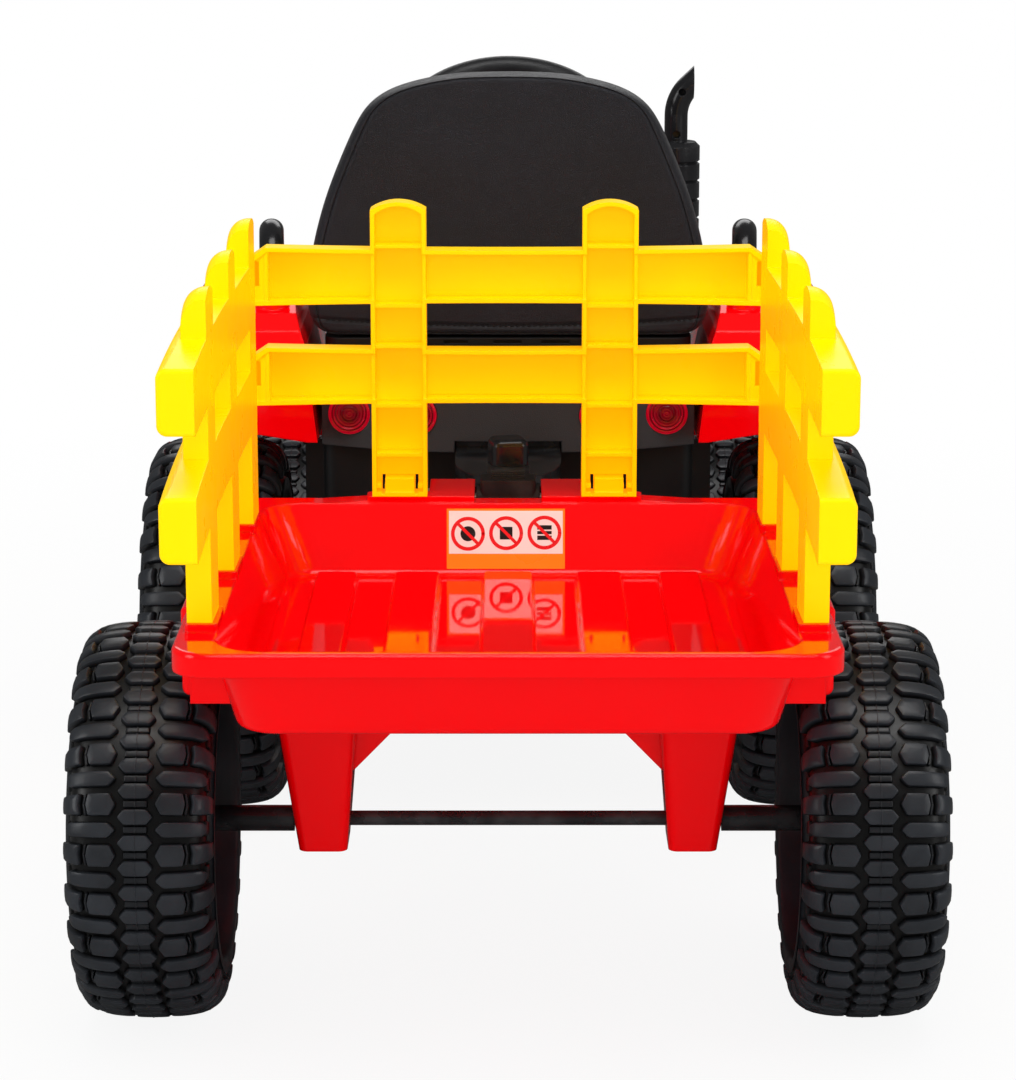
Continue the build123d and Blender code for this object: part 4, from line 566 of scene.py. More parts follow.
def tread_blocks(width, radius, pitch):
    """Blocks of one repeat: outline (u across, s around), height, shift, corner, bevel."""
    across = width / DRAWN_WIDTH
    around = pitch / DRAWN_PITCH
    height = BLOCK_HEIGHT * radius / DRAWN_RADIUS
    hexagon, bar, middle = 6.9 * around, 4.7 * around, 4.75 * around  # half lengths
    one_side = (
        # side hexagon
        ([(11.0, 0), (14.3, -hexagon), (26.2, -hexagon), (27.6, 0), (26.2, hexagon),
          (14.3, hexagon)], height, 0.0, 1.0, 0.9),
        # long bar between two hexagon rows
        ([(11.0, 0), (15.2, -bar), (36.5, -bar), (40.0, -bar * 0.45), (40.0, bar * 0.45),
          (36.5, bar), (15.2, bar)], height, pitch / 2, 1.3, 0.9),
        # shoulder block
        ([(31.6, 0), (30.6, -hexagon * 0.98), (49.0, -hexagon * 0.86), (49.0, hexagon * 0.86),
          (30.6, hexagon * 0.98)], height + 0.3, 0.0, 1.6, 1.1),
        # thin chevron rib between hexagon and shoulder block, in two halves
        ([(28.4, 0), (27.4, -hexagon * 0.95), (28.5, -hexagon * 0.95), (29.6, 0)],
         2.2, 0.0, 0.3, 0.35),
        ([(28.4, 0), (29.6, 0), (28.5, hexagon * 0.95), (27.4, hexagon * 0.95)],
         2.2, 0.0, 0.3, 0.35),
        # low step under the shoulder, beside the bar
        ([(42.5, -bar * 1.15), (50.5, -bar), (50.5, bar), (42.5, bar * 1.15)],
         1.6, pitch / 2, 1.2, 0.6),
    )
    blocks = []
    for side in (-1, 1):
        for outline, *sizes in one_side:
            # mirrored outlines are reversed to stay counter-clockwise
            blocks.append(([(side * u * across, s) for u, s in outline[::side]], *sizes))

    def rectangle(u, s):
        return [(-u, -s), (u, -s), (u, s), (-u, s)]

    # middle hexagons with a fine rib along their tops
    tip, flat = 10.0 * across, 6.4 * across
    centre_hexagon = [(-tip, 0), (-flat, -middle), (flat, -middle), (tip, 0), (flat, middle),
                      (-flat, middle)]
    for shift in (pitch * 0.25, pitch * 0.75):
        blocks.append((centre_hexagon, height, shift, 1.2, 0.9))
        blocks.append((rectangle(0.35, middle), height + 0.25, shift, 0.1, 0.15))
    # low pads between them, with the same rib
    pad = pitch / 4 - middle - 1.3
    for shift in (0.0, pitch * 0.5):
        blocks.append((rectangle(6.6 * across, pad), 2.0, shift, 0.6, 0.6))
        blocks.append((rectangle(0.35, pad), 2.5, shift, 0.1, 0.15))
    return blocks


def body_ring(carcass, width, bore, hub_inner):
    """Closed (x, r, tread) section of the dished body, from the rim towards the vehicle."""
    disc = 0.72 * carcass.radius
    recess = 0.66 * carcass.radius
    u = np.linspace(carcass.arc[6], carcass.arc[-7], CROWN_POINTS)
    crown_x, crown_r = carcass.at(u, np.zeros(CROWN_POINTS))
    inner_edge, outer_edge = crown_r[0], crown_r[-1]
    inner = [
        (3.6, disc - 1.6), (1.6, disc - 0.6), (0.6, disc + 1.2), (0.5, disc + 4.5),
        (0.9, disc + 5.3), (0.9, disc + 6.6), (0.5, disc + 7.4),
        (0.8, inner_edge - 4.5), (2.0, inner_edge - 2.2),
    ]
    outer = [
        # outer sidewall with one groove
        (width - 2.0, outer_edge - 2.2), (width - 0.6, outer_edge - 4.5),
        (width - 0.5, outer_edge - 7.5), (width - 1.8, outer_edge - 8.4),
        (width - 1.8, outer_edge - 10.4), (width - 0.5, outer_edge - 11.4),
        # recessed outer face down to the bore
        (width - 0.5, recess + 4), (width - 1.0, recess + 1.8), (width - 3.0, recess + 0.2),
        (width - 13, recess - 1.8), (width - 14, recess - 2.6), (width - 14, bore + 8),
        (width - 14, bore + 1), (width - 14.6, bore),
        # bore and hub
        (hub_inner + 0.6, bore), (hub_inner, bore + 0.8), (hub_inner, HUB_RADIUS - 0.8),
        (hub_inner + 0.8, HUB_RADIUS), (width - 22, HUB_RADIUS),
        # hollow face towards the vehicle
        (width - 19.5, 18.5), (width - 19, 24), (width - 19, disc - 18),
        (width - 21, disc - 13.5), (width - 26, disc - 11.0), (width * 0.5, disc - 6.2),
        (8, disc - 2.2),
    ]
    # the third value drives the painted groove shade: 0 on the carcass between the blocks, 0.75 on
    # the sidewalls and faces
    return ([(x, r, 0.75) for x, r in inner] + [(x, r, 0.0) for x, r in zip(crown_x, crown_r)]
            + [(x, r, 0.75) for x, r in outer])


def disc_rib(index, width, end_radius):
    """Corners of one radial rib on the disc's face towards the vehicle."""
    angle = 2 * math.pi * (index + 0.5) / DISC_RIBS
    return np.array([
        (x, r, angle + side * RIB_HALF / r, 0.5)
        for x in (width - 19.2, width - 26.0)
        for r, side in ((RIB_START, 1), (end_radius, 1), (end_radius, -1), (RIB_START, -1))])


def tyre_mesh(width, radius, repeats, bore, hub_inner):
    """Points (x, r, angle, tread) and faces; x runs from the vehicle side (0) outwards."""
    carcass = Carcass(width, radius)
    segment, segment_faces = [], []
    size = 0
    for block in tread_blocks(width, radius, 2 * math.pi * radius / repeats):
        points, faces = block_mesh(carcass, *block)
        segment.append(points)
        segment_faces += [tuple(i + size for i in face) for face in faces]
        size += len(points)
    segment = np.concatenate(segment)
    verts, faces = [], []
    for i in range(repeats):
        turned = segment.copy()
        turned[:, 2] += 2 * math.pi * i / repeats
        verts.append(turned)
        faces += [tuple(j + i * size for j in face) for face in segment_faces]
    ring = body_ring(carcass, width, bore, hub_inner)
    for i in range(BODY_SEGMENTS):
        angle = 2 * math.pi * i / BODY_SEGMENTS
        verts.append(np.array([(x, r, angle, tread) for x, r, tread in ring]))
    start = repeats * size
    faces += ring_faces(BODY_SEGMENTS, len(ring), start, closed=True)
    start += BODY_SEGMENTS * len(ring)
    for i in range(DISC_RIBS):
        verts.append(disc_rib(i, width, end_radius=0.72 * radius - 14.5))
        b = start + i * 8
        faces += [(b, b + 1, b + 2, b + 3), (b + 7, b + 6, b + 5, b + 4)]
        faces += [(b + k, b + 4 + k, b + 4 + (k + 1) % 4, b + (k + 1) % 4) for k in range(4)]
    return np.concatenate(verts), faces


def place_tyre(kind, side_name, side, shape, inner_x, axle_y, axle_z):
    points, faces = shape
    x = side * (inner_x + points[:, 0])
    y = axle_y + points[:, 1] * np.cos(points[:, 2])
    z = axle_z + points[:, 1] * np.sin(points[:, 2])
    tyre = make_object(f"{kind}_tread_{side_name}", np.stack([x, y, z], 1) / 1000.0, faces, TYRE,
                       sharp_angle=40, tread=points[:, 3])
    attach(tyre, f"{kind}_wheel_{side_name}")
    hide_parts(f"{kind}_tyre_{side_name}")


def build_tyres():
    shapes = {kind: tyre_mesh(*sizes) for kind, *sizes, _, _ in TYRES}
    for side, side_name in ((1, "right"), (-1, "left")):
        for kind, _, radius, _, _, _, inner_x, axle_y in TYRES:
            # the tyre stands on the floor, so its axle is one radius up
            place_tyre(kind, side_name, side, shapes[kind], inner_x, axle_y, axle_z=radius)


build_tyres()

# ---------------------------------------------------------------------------
# Upholstery helpers
# ---------------------------------------------------------------------------


def puff(piece, pressure, cap, frames, pins):
    """Inflate a piece like stuffed fabric, moving no point more than cap metres."""
    rest = mesh_points(piece)
    cloth = piece.modifiers.new("stuffing", "CLOTH")
    settings = cloth.settings
    settings.quality = 6
    settings.mass = 0.3
    settings.tension_stiffness = settings.compression_stiffness = 12.0
    settings.shear_stiffness = 4.0
    settings.bending_stiffness = 0.6
    settings.effector_weights.gravity = 0.0
    settings.use_pressure = True
    settings.uniform_pressure_force = pressure
    group = piece.vertex_groups.new(name="pin")
    for i, weight in enumerate(pins):
        if weight > 0:
            group.add([i], float(weight), "REPLACE")
    settings.vertex_group_mass = "pin"
    cloth.collision_settings.use_collision = False
    cloth.point_cache.frame_start = 1
    cloth.point_cache.frame_end = frames
    scene.frame_start, scene.frame_end = 1, frames
    for step in range(1, frames + 1):
        scene.frame_set(step)
    evaluated = piece.evaluated_get(bpy.context.evaluated_depsgraph_get())
    puffed = np.array([v.co for v in evaluated.to_mesh().vertices], float)
    evaluated.to_mesh_clear()
    piece.modifiers.remove(cloth)
    move = puffed - rest
    length = np.linalg.norm(move, axis=1)[:, None] + 1e-12
    set_points(piece, rest + move / length * cap * np.tanh(length / cap))
    scene.frame_set(1)


def subdivide(piece):
    """Bake one level of subdivision into the mesh."""
    smooth = piece.modifiers.new("smooth", "SUBSURF")
    smooth.levels = smooth.render_levels = 1
    depsgraph = bpy.context.evaluated_depsgraph_get()
    mesh = bpy.data.meshes.new_from_object(piece.evaluated_get(depsgraph))
    piece.modifiers.clear()
    piece.data = mesh
    smooth_faces(mesh)
    mesh.update()


THREAD_SIDES = 6
THREAD_LIFT = 0.0001
# share of the stitch length, share of its radius
THREAD_STATIONS = ((0, 0.35), (0.12, 0.85), (0.5, 1.0), (0.88, 0.85), (1, 0.35))


def on_surface(tree, start, direction):
    """Point just above the surface met from start along an axis, or None."""
    hit = tree.ray_cast(Vector(start), Vector(direction))[0]
    if hit is None:
        return None
    return tuple(h - d * THREAD_LIFT if d else s for s, h, d in zip(start, hit, direction))


def add_stitches(name, piece, starts, direction, radius):
    """Short rounded threads on a piece, between pairs of ray starts cast onto it."""
    tree = BVHTree.FromPolygons([v.co.copy() for v in piece.data.vertices],
                                [tuple(p.vertices) for p in piece.data.polygons])
    verts, faces = [], []
    sides = THREAD_SIDES
    for pair in starts:
        ends = [on_surface(tree, start, direction) for start in pair]
        if None in ends:
            continue
        first, last = (np.array(end, float) for end in ends)
        axis = last - first
        length = np.linalg.norm(axis)
        axis /= length
        other = np.array([0, 1, 0]) if abs(axis[1]) < 0.9 else np.array([1, 0, 0])
        across = np.cross(axis, other)
        across /= np.linalg.norm(across)
        up = np.cross(axis, across)
        base = len(verts)
        for along, share in THREAD_STATIONS:
            for k in range(sides):
                angle = 2 * math.pi * k / sides
                spoke = across * math.cos(angle) + up * math.sin(angle)
                verts.append(first + axis * length * along + spoke * radius * share)
        faces += ring_faces(len(THREAD_STATIONS), sides, base)
        faces.append(tuple(base + k for k in reversed(range(sides))))
        faces.append(tuple(base + 4 * sides + k for k in range(sides)))
    stitches = make_object(name, verts, faces, THREAD, sharp_angle=60)
    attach(stitches, "tractor")


# ---------------------------------------------------------------------------
# Seat back cushion
# ---------------------------------------------------------------------------

# Right half of the outline seen along Y: x, z, from the top middle down
BACK_OUTLINE = [
    (0, 573), (38, 572), (60.6, 568.5), (82, 563.0), (97, 556), (108.6, 545.5), (117.7, 526),
    (127.2, 504), (136.7, 480), (144.5, 452), (150.5, 420), (151.5, 403), (149.0, 389),
    (142.0, 379.5),
]
BACK_POINTS = 264
REAR_PANEL_Y = -59.4
FRONT_PANEL_Y = -8.6
FRONT_INSET = 11.5
# Shares of the way from a panel's edge to its spine
REAR_PANEL_SHARES = (1.0, 0.86, 0.72, 0.6, 0.48, 0.38, 0.29, 0.21, 0.14, 0.09, 0.05)
FRONT_PANEL_SHARES = (0.1, 0.2, 0.3, 0.42, 0.55, 0.7, 0.85, 1.0)
# Rear seam: inset added to the rear edge's inset, y, pinned
REAR_SEAM = ((2.6, -59.2, False), (1.3, -58.8, False), (0.5, -58.0, True),
             (0.0, -56.6, True), (-0.35, -57.8, True), (-0.8, -58.1, False))
# Side wall: share of the rear edge's inset, y
SIDE_WALL = ((0.55, -56.6), (0.3, -54.6), (0.12, -51.5), (0.03, -47.0), (0.0, -41.0),
             (0.0, -34.0), (0.0, -27.0), (0.03, -21.5), (0.1, -17.8))
# Front seam: inset, y, pinned
FRONT_SEAM = ((1.2, -15.6, False), (2.6, -15.2, True), (3.6, -14.4, True),
              (5.0, -12.2, False), (7.5, -10.4, False), (FRONT_INSET, -9.0, False))
BACK_STITCH = 0.0032
BACK_STITCH_PITCH = 0.0043
BACK_STITCH_END = 0.136


def back_outline():
    """Evenly spaced, smoothed outline (x, z) and its inward normals."""
    ring = BACK_OUTLINE + [(-x, z) for x, z in reversed(BACK_OUTLINE[1:])]
    closed = np.array(ring + ring[:1], float)
    steps = np.linalg.norm(np.diff(closed, axis=0), axis=1)
    arc = np.concatenate([[0], np.cumsum(steps)])
    places = np.linspace(0, arc[-1], BACK_POINTS, endpoint=False)
    kernel = bell(half_width=7, sigma=2.6)
    columns = []
    for axis in (0, 1):
        values = np.interp(places, arc, closed[:, axis])
        wrapped = np.concatenate([values[-7:], values, values[:7]])
        columns.append(np.convolve(wrapped, kernel, "valid"))
    outline = np.stack(columns, 1)
    tangent = np.roll(outline, -1, 0) - np.roll(outline, 1, 0)
    tangent /= np.linalg.norm(tangent, axis=1)[:, None]
    return outline, np.stack([tangent[:, 1], -tangent[:, 0]], 1)


def front_swell(z):
    """Smooth step from 0 below z = 432 to 1 above z = 477."""
    t = np.clip((z - 432) / 45, 0, 1)
    return t * t * (3 - 2 * t)


def back_rings():
    """Rings from the rear panel's spine around to the front panel's: (points, pinned)."""
    outline, inward = back_outline()
    # the rear edge is set in further at the sides than at top and bottom
    rear_inset = 1.5 + 6.0 * np.abs(inward[:, 0]) ** 1.6
    spine = np.stack([np.clip(outline[:, 0], -40, 40) * 0.6,
                      np.clip(outline[:, 1], 440, 500)], 1)
    rings = []

    def add_ring(points, y, pinned=False):
        y = np.broadcast_to(y, BACK_POINTS)
        rings.append((np.stack([points[:, 0], y, points[:, 1]], 1) / 1000.0, pinned))

    def inset_by(distance):
        return outline + inward * np.broadcast_to(distance, BACK_POINTS)[:, None]

    for share in REAR_PANEL_SHARES:
        add_ring(inset_by(rear_inset) * (1 - share) + spine * share, REAR_PANEL_Y)
    for extra, y, pinned in REAR_SEAM:
        add_ring(inset_by(np.maximum(rear_inset + extra, 0.25)), y, pinned)
    for share, y in SIDE_WALL:
        add_ring(inset_by(rear_inset * share), y)
    for inset, y, pinned in FRONT_SEAM:
        add_ring(inset_by(inset), y, pinned)
    for share in FRONT_PANEL_SHARES:
        points = inset_by(FRONT_INSET) * (1 - share) + spine * share
        swell = 3.2 * front_swell(points[:, 1]) * min(1.0, share * 3)
        add_ring(points, FRONT_PANEL_Y + swell)
    return rings


def close_panels(mesh):
    """Fill the slits left along the two spines."""
    bm = bmesh.new()
    bm.from_mesh(mesh)
    bmesh.ops.holes_fill(bm, edges=[e for e in bm.edges if e.is_boundary], sides=0)
    bmesh.ops.triangulate(bm, faces=[f for f in bm.faces if len(f.verts) > 4])
    bmesh.ops.recalc_face_normals(bm, faces=bm.faces)
    bm.to_mesh(mesh)
    bm.free()


def back_pins(points, seam_points):
    """Pin weights: full on the seams, fading beside them, and full near the bottom."""
    tree = KDTree(len(seam_points))
    for i, point in enumerate(seam_points):
        tree.insert(point, i)
    tree.balance()
    pins = np.zeros(len(points))
    for i, point in enumerate(points):
        distance = tree.find(point)[2]
        pins[i] = 1.0 if distance < 1e-5 else max(0.0, 0.7 - distance / 0.012)
    return np.maximum(pins, np.clip((0.392 - points[:, 2]) / 0.006, 0, 1))


def slacken_rear(piece):
    """Slight unevenness over the rear panel."""
    points = mesh_points(piece)
    for i, (x, y, z) in enumerate(points):
        if y < -0.05:
            fine = noise.noise(Vector((x * 14, 0.3, z * 26))) * 0.0008
            broad = noise.noise(Vector((x * 5, 2.3, z * 9))) * 0.0012
            points[i, 1] += fine + broad
    set_points(piece, points)


def seam_height(x):
    return SEAM_Z + SEAM_RISE * x * x


def back_stitch_starts():
    """Slanting stitches across the seam, cast from behind."""
    starts = []
    x = -BACK_STITCH_END
    while x < BACK_STITCH_END:
        end = x + BACK_STITCH
        starts.append(((x, -0.2, seam_height(x) - 0.0004),
                       (end, -0.2, seam_height(end) + 0.0004)))
        x += BACK_STITCH_PITCH
    return starts


def build_seat_back():
    rings = back_rings()
    back = make_object("seat_back_leather", np.concatenate([ring for ring, _ in rings]),
                       ring_faces(len(rings), BACK_POINTS), LEATHER_BACK, sharp_angle=180)
    close_panels(back.data)
    seam_points = np.concatenate([ring for ring, pinned in rings if pinned])
    puff(back, pressure=2.6, cap=0.0045, frames=18,
         pins=back_pins(mesh_points(back), seam_points))
    slacken_rear(back)
    subdivide(back)
    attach(back, "tractor")
    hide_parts("seat_back_cushion")
    add_stitches("seat_back_stitches", back, back_stitch_starts(), direction=(0, 1, 0),
                 radius=0.00045)


build_seat_back()

# ---------------------------------------------------------------------------
# Seat cushion: three stuffed channels with a rounded border
# ---------------------------------------------------------------------------

CUSHION_COLUMNS, CUSHION_ROWS = 67, 50
CUSHION_HALF_WIDTH = 132.0
CUSHION_REAR, CUSHION_FRONT = -7.0, 190.0
CUSHION_MIDDLE = (CUSHION_REAR + CUSHION_FRONT) / 2
CUSHION_HALF_LENGTH = (CUSHION_FRONT - CUSHION_REAR) / 2
CUSHION_BOTTOM = 378.2
CUSHION_CORNER = 22.0
CUSHION_EDGE = 15.0
# Height of the top along the cushion: y, z
CUSHION_TOP = ((-7, 425), (25, 423), (60, 421.5), (110, 426), (150, 429.5), (172, 426),
               (184, 418), (190, 404))
# Side wall: share of the way down, inset
CUSHION_WALL = ((0.03, 0.6), (0.08, 0.9), (0.16, 0.1), (0.35, -0.8), (0.6, -0.6), (0.85, 0.6),
                (1.0, 2.4))
CHANNEL_X = 44.0
CROSS_GROOVE_Y = 118
CUSHION_STITCH = 0.0036
CUSHION_STITCH_PITCH = 0.0052


def cushion_top_point(x, y):
    """Grid point moved inside the rounded corner and onto the quilted top."""
    straight_x = CUSHION_HALF_WIDTH - CUSHION_CORNER
    straight_y = CUSHION_HALF_LENGTH - CUSHION_CORNER
    over_x = abs(x) - straight_x
    over_y = abs(y - CUSHION_MIDDLE) - straight_y
    if over_x > 0 and over_y > 0:
        over = math.hypot(over_x, over_y)
        if over > CUSHION_CORNER:
            pull = CUSHION_CORNER / over
            x = math.copysign(straight_x + over_x * pull, x)
            y = CUSHION_MIDDLE + math.copysign(straight_y + over_y * pull, y - CUSHION_MIDDLE)
        from_edge = CUSHION_CORNER - min(over, CUSHION_CORNER)
    else:
        from_edge = CUSHION_CORNER - max(over_x, over_y, 0.0)
    short = CUSHION_EDGE - min(from_edge, CUSHION_EDGE)
    drop = CUSHION_EDGE - math.sqrt(max(0.0, CUSHION_EDGE * CUSHION_EDGE - short ** 2))
    z = np.interp(y, *zip(*CUSHION_TOP)) - drop
    # the grooves fade out towards the border
    fade = max(0.0, min(1.0, (from_edge - 6) / 12.0))
    for groove in (-CHANNEL_X, CHANNEL_X):
        z -= fade * 6.5 * math.exp(-((x - groove) / 3.4) ** 2)
        z += fade * 2.0 * math.exp(-((abs(x - groove) - 12.0) / 9.0) ** 2)
    z -= fade * 3.0 * math.exp(-((y - CROSS_GROOVE_Y) / 3.2) ** 2)
    return x, y, z


def cushion_mesh():
    columns, rows = CUSHION_COLUMNS, CUSHION_ROWS
    verts = [cushion_top_point(x, y)
             for x in np.linspace(-CUSHION_HALF_WIDTH, CUSHION_HALF_WIDTH, columns)
             for y in np.linspace(CUSHION_REAR, CUSHION_FRONT, rows)]
    top = np.arange(columns * rows).reshape(columns, rows)
    faces = [(top[i, j], top[i + 1, j], top[i + 1, j + 1], top[i, j + 1])
             for i in range(columns - 1) for j in range(rows - 1)]
    rim = [*top[:, 0], *top[-1, 1:], *top[-2::-1, -1], *top[0, -2:0:-1]]
    upper = rim
    for share, inset in CUSHION_WALL:
        lower = []
        for k in rim:
            x, y, z = verts[k]
            lower.append(len(verts))
            verts.append((x - inset * (x / CUSHION_HALF_WIDTH),
                          y - inset * ((y - CUSHION_MIDDLE) / CUSHION_HALF_LENGTH),
                          z + (CUSHION_BOTTOM - z) * share))
        for a in range(len(rim)):
            b = (a + 1) % len(rim)
            faces.append((upper[a], lower[a], lower[b], upper[b]))
        upper = lower
    # flat underside as a grid, so that no face has too many sides to subdivide well
    below = dict(zip(rim, upper))
    bottom = np.zeros((columns, rows), int)
    for i in range(columns):
        for j in range(rows):
            if top[i, j] in below:
                bottom[i, j] = below[top[i, j]]
            else:
                x, y, _ = verts[top[i, j]]
                bottom[i, j] = len(verts)
                verts.append((x * 0.982, CUSHION_MIDDLE + (y - CUSHION_MIDDLE) * 0.976,
                              CUSHION_BOTTOM))
    faces += [(bottom[i, j], bottom[i, j + 1], bottom[i + 1, j + 1], bottom[i + 1, j])
              for i in range(columns - 1) for j in range(rows - 1)]
    return np.array(verts) / 1000.0, faces


def cushion_pins(points):
    """Pin weights: the bottom edge and the two lengthwise grooves."""
    x, z = points[:, 0], points[:, 2]
    pins = np.clip((0.384 - z) / 0.004, 0, 1)
    for groove in (-CHANNEL_X / 1000, CHANNEL_X / 1000):
        pins = np.maximum(pins, (np.abs(x - groove) < 0.0022) * (z > 0.40) * 1.0)
    return pins


def cushion_stitch_starts():
    """Stitches along both sides of each lengthwise groove, cast from above."""
    starts = []
    for offset in (4.5, -4.5):
        for x in (-(CHANNEL_X + offset) / 1000, (CHANNEL_X + offset) / 1000):
            y = 0.012
            while y < 0.168:
                starts.append(((x, y, 0.6), (x, y + CUSHION_STITCH, 0.6)))
                y += CUSHION_STITCH_PITCH
    return starts


def build_seat_cushion():
    cushion = make_object("seat_cushion_leather", *cushion_mesh(), LEATHER, sharp_angle=180)
    puff(cushion, pressure=2.0, cap=0.004, frames=16, pins=cushion_pins(mesh_points(cushion)))
    subdivide(cushion)
    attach(cushion, "tractor")
    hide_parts("seat_cushion")
    add_stitches("seat_cushion_stitches", cushion, cushion_stitch_starts(),
                 direction=(0, 0, -1), radius=0.0005)


build_seat_cushion()

# ---------------------------------------------------------------------------
# Picture label inside the tub, without lettering. It lies on the rear-facing wall and bends
# with the fillet at the wall's foot. u is x; v runs down the wall from the label's top.
# ---------------------------------------------------------------------------

# Straight part of the wall, as (y, z)
WALL_TOP = (-256.75, 290.4)
WALL_LOW = (-264.9, 250.6)
WALL_NORMAL = (-0.980, 0.200)
WALL_LENGTH = math.hypot(WALL_TOP[0] - WALL_LOW[0], WALL_TOP[1] - WALL_LOW[1])
FILLET = 7.0
FILLET_CENTRE = tuple(low + n * FILLET for low, n in zip(WALL_LOW, WALL_NORMAL))
FILM = 0.12
LABEL_LEFT, LABEL_RIGHT = -42.5, 39.5
LABEL_TOP, LABEL_BOTTOM = 0.2, 42.0
LABEL_BORDER = 1.5
LABEL_FOOT = 10.5
SIGNS = [(-27.8, 17.6), (-1.3, 17.2), (25.3, 16.8)]


def wall_point(u, v, height):
    """Point at (u, v), lifted by height above the wall."""
    if v <= WALL_LENGTH:
        t = v / WALL_LENGTH
        normal = WALL_NORMAL
        y, z = (top + (low - top) * t for top, low in zip(WALL_TOP, WALL_LOW))
    else:
        angle = math.atan2(WALL_NORMAL[1], -WALL_NORMAL[0]) + (v - WALL_LENGTH) / FILLET
        normal = (-math.cos(angle), math.sin(angle))
        y, z = (centre - n * FILLET for centre, n in zip(FILLET_CENTRE, normal))
    return (u, y + normal[0] * height, z + normal[1] * height)


def label_piece(name, strips, height, material):
    """Thin film on the wall; each strip spans two curves of (u, v) points."""
    verts, faces = [], []
    for first, second in strips:
        n = len(first)
        front = len(verts)
        back = front + 2 * n
        verts += [wall_point(u, v, level)
                  for level in (height, height - FILM) for u, v in first + second]
        for i in range(front, front + n - 1):
            faces.append((i, i + 1, n + i + 1, n + i))
        for i in range(n - 1):
            f, b = front + i, back + i
            faces.append((b + n, b + n + 1, b + 1, b))
            faces.append((f, b, b + 1, f + 1))
            faces.append((f + n + 1, b + n + 1, b + n, f + n))
        faces.append((front, front + n, back + n, back))
        faces.append((front + n - 1, back + n - 1, back + 2 * n - 1, front + 2 * n - 1))
    piece = make_object(name, np.array(verts) / 1000.0, faces, material, sharp_angle=40)
    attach(piece, "trailer")


def rectangle_strip(left, right, top, bottom, count):
    return [[(u, top + (bottom - top) * i / (count - 1)) for i in range(count)]
            for u in (left, right)]


def ring_strip(u, v, inner, outer, count=49):
    angles = [2 * math.pi * i / (count - 1) for i in range(count)]
    return [[(u + r * math.cos(a), v + r * math.sin(a)) for a in angles]
            for r in (inner, outer)]


def bar_strip(u, v, half_length, half_width, angle=0.0, count=9):
    cos, sin = math.cos(angle), math.sin(angle)
    shares = [2 * i / (count - 1) - 1 for i in range(count)]
    return [[(u + cos * half_length * t - sin * w, v + sin * half_length * t + cos * w)
             for t in shares] for w in (half_width, -half_width)]


def build_label():
    label_piece("label_border", [
        rectangle_strip(LABEL_LEFT, LABEL_RIGHT, LABEL_TOP, LABEL_BOTTOM, count=20),
    ], 0.25, VINYL_ORANGE)
    label_piece("label_field", [
        rectangle_strip(LABEL_LEFT + LABEL_BORDER, LABEL_RIGHT - LABEL_BORDER,
                        LABEL_TOP + LABEL_BORDER, LABEL_BOTTOM - LABEL_FOOT, count=16),
    ], 0.34, VINYL_WHITE)
    label_piece("label_rings", [ring_strip(u, v, 9.3, 11.8) for u, v in SIGNS], 0.44, VINYL_RED)
    # a dot, a square and three level bars inside the rings
    dot, (square_u, square_v), (bars_u, bars_v) = SIGNS
    half = 4.4
    label_piece("label_shapes", [
        ring_strip(*dot, 0.3, 5.2),
        rectangle_strip(square_u - half, square_u + half, square_v - half, square_v + half,
                        count=6),
        bar_strip(bars_u, bars_v - 3.6, 5.0, 1.5),
        bar_strip(bars_u, bars_v + 3.6, 5.0, 1.5),
        bar_strip(bars_u, bars_v, 5.0, 1.1),
    ], 0.42, VINYL_BLACK)
    label_piece("label_bars", [bar_strip(u, v, 9.8, 1.1, math.radians(45)) for u, v in SIGNS],
                0.47, VINYL_RED)


build_label()

# ---------------------------------------------------------------------------
# Floor, light, camera
# ---------------------------------------------------------------------------

FLOOR_SHADE = 0.10      # share of real shading the camera sees on the floor near the wheels
WORLD_DIFFUSE = 0.64    # world strength for soft light
WORLD_GLOSSY = 0.12     # world strength in reflections
WORLD_CAMERA = 1.0      # world strength seen directly
WHITE = (1, 1, 1, 1)


def floor_material():
    material, shader = new_material("floor_pale")
    pale = shader.principled({
        "Base Color": shader.ramp(shader.noise(shader.coords(), scale=3.0, detail=2.0),
                                  [(0.3, (0.80, 0.80, 0.80)), (0.7, (0.82, 0.82, 0.82))]),
        "Roughness": 0.95,
        "Specular IOR Level": 0.0,
    })
    # the camera sees a nearly white sweep, with a faint share of shading close to the wheels
    white = shader.node("Emission", {"Color": WHITE, "Strength": 1.0}).outputs[0]
    distance = shader.node("VectorMath", (shader.coords((1.0, 0.75, 1.0)),),
                           operation="LENGTH").outputs["Value"]
    shade = shader.remap(distance, source=(0.45, 1.3), target=(FLOOR_SHADE, 0.0))
    rays = shader.node("LightPath").outputs
    seen = shader.mix_shader(rays["Is Camera Ray"], pale, shader.mix_shader(shade, white, pale))
    # glossy pieces mirror a dimmer floor
    dim = shader.node("BsdfDiffuse", {"Color": (0.16, 0.16, 0.16, 1)}).outputs[0]
    shader.surface(shader.mix_shader(rays["Is Glossy Ray"], seen, dim))
    return material


def build_floor():
    bpy.ops.mesh.primitive_plane_add(size=60, location=(0, 0, 0))
    floor = bpy.context.object
    floor.name = "studio_floor"
    floor.data.materials.append(floor_material())


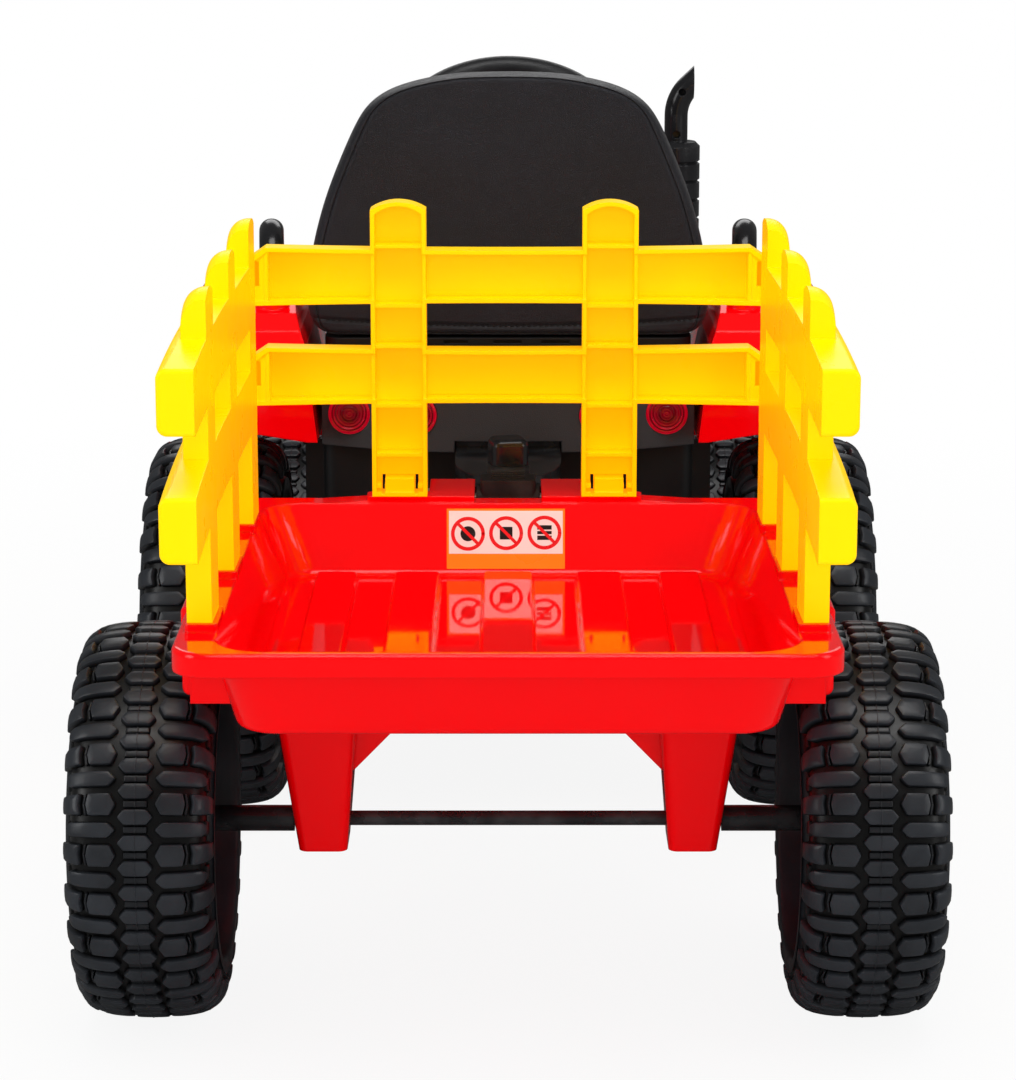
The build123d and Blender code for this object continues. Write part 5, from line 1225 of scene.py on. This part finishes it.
def build_world():
    scene.world = bpy.data.worlds.new("studio")
    shader = Shader(scene.world, "OutputWorld")
    rays = shader.node("LightPath").outputs
    diffuse, glossy, camera = (
        shader.node("Background", {"Color": WHITE, "Strength": strength}).outputs[0]
        for strength in (WORLD_DIFFUSE, WORLD_GLOSSY, WORLD_CAMERA))
    unseen = shader.mix_shader(rays["Is Glossy Ray"], diffuse, glossy)
    shader.surface(shader.mix_shader(rays["Is Camera Ray"], unseen, camera))


def area_light(name, place, target, size, power):
    """Rectangular light of size (width, height) aimed at the target."""
    light = bpy.data.lights.new(name, "AREA")
    light.energy = power
    light.shape = "RECTANGLE"
    light.size, light.size_y = size
    lamp = bpy.data.objects.new(name, light)
    scene.collection.objects.link(lamp)
    lamp.location = place
    aim = Vector(target) - Vector(place)
    lamp.rotation_euler = aim.to_track_quat("-Z", "Y").to_euler()
    return lamp


def build_lights():
    middle = (0, -0.3, 0.25)
    area_light("key_top", (0.2, -1.2, 2.6), middle, size=(2.0, 1.2), power=26)
    area_light("left_soft", (-2.3, -1.5, 1.2), middle, size=(0.9, 1.7), power=13)
    area_light("right_soft", (2.3, -1.5, 1.2), middle, size=(0.9, 1.7), power=12)
    area_light("back_rim", (0.0, 2.4, 1.8), (0, 0.1, 0.35), size=(2.2, 1.2), power=14)
    soft = area_light("front_soft", (0.0, -7.0, 1.3), (0, -0.4, 0.3), size=(3.2, 2.4), power=88)
    soft.visible_glossy = False


def build_camera():
    """Camera behind the trailer, looking forward and slightly down."""
    camera = bpy.data.cameras.new("camera")
    camera.sensor_width = 36.0
    camera.lens = 107.13
    camera.clip_start, camera.clip_end = 0.05, 100.0
    holder = bpy.data.objects.new("camera", camera)
    scene.collection.objects.link(holder)
    holder.location = (0.0, -2.4375, 0.767)
    down_tilt = 0.225
    holder.rotation_euler = (math.pi / 2 - down_tilt, 0.0, 0.0)
    scene.camera = holder


build_floor()
build_world()
build_lights()
build_camera()
scene.view_settings.view_transform = "Standard"
scene.view_settings.look = "None"
scene.view_settings.exposure = 0.0
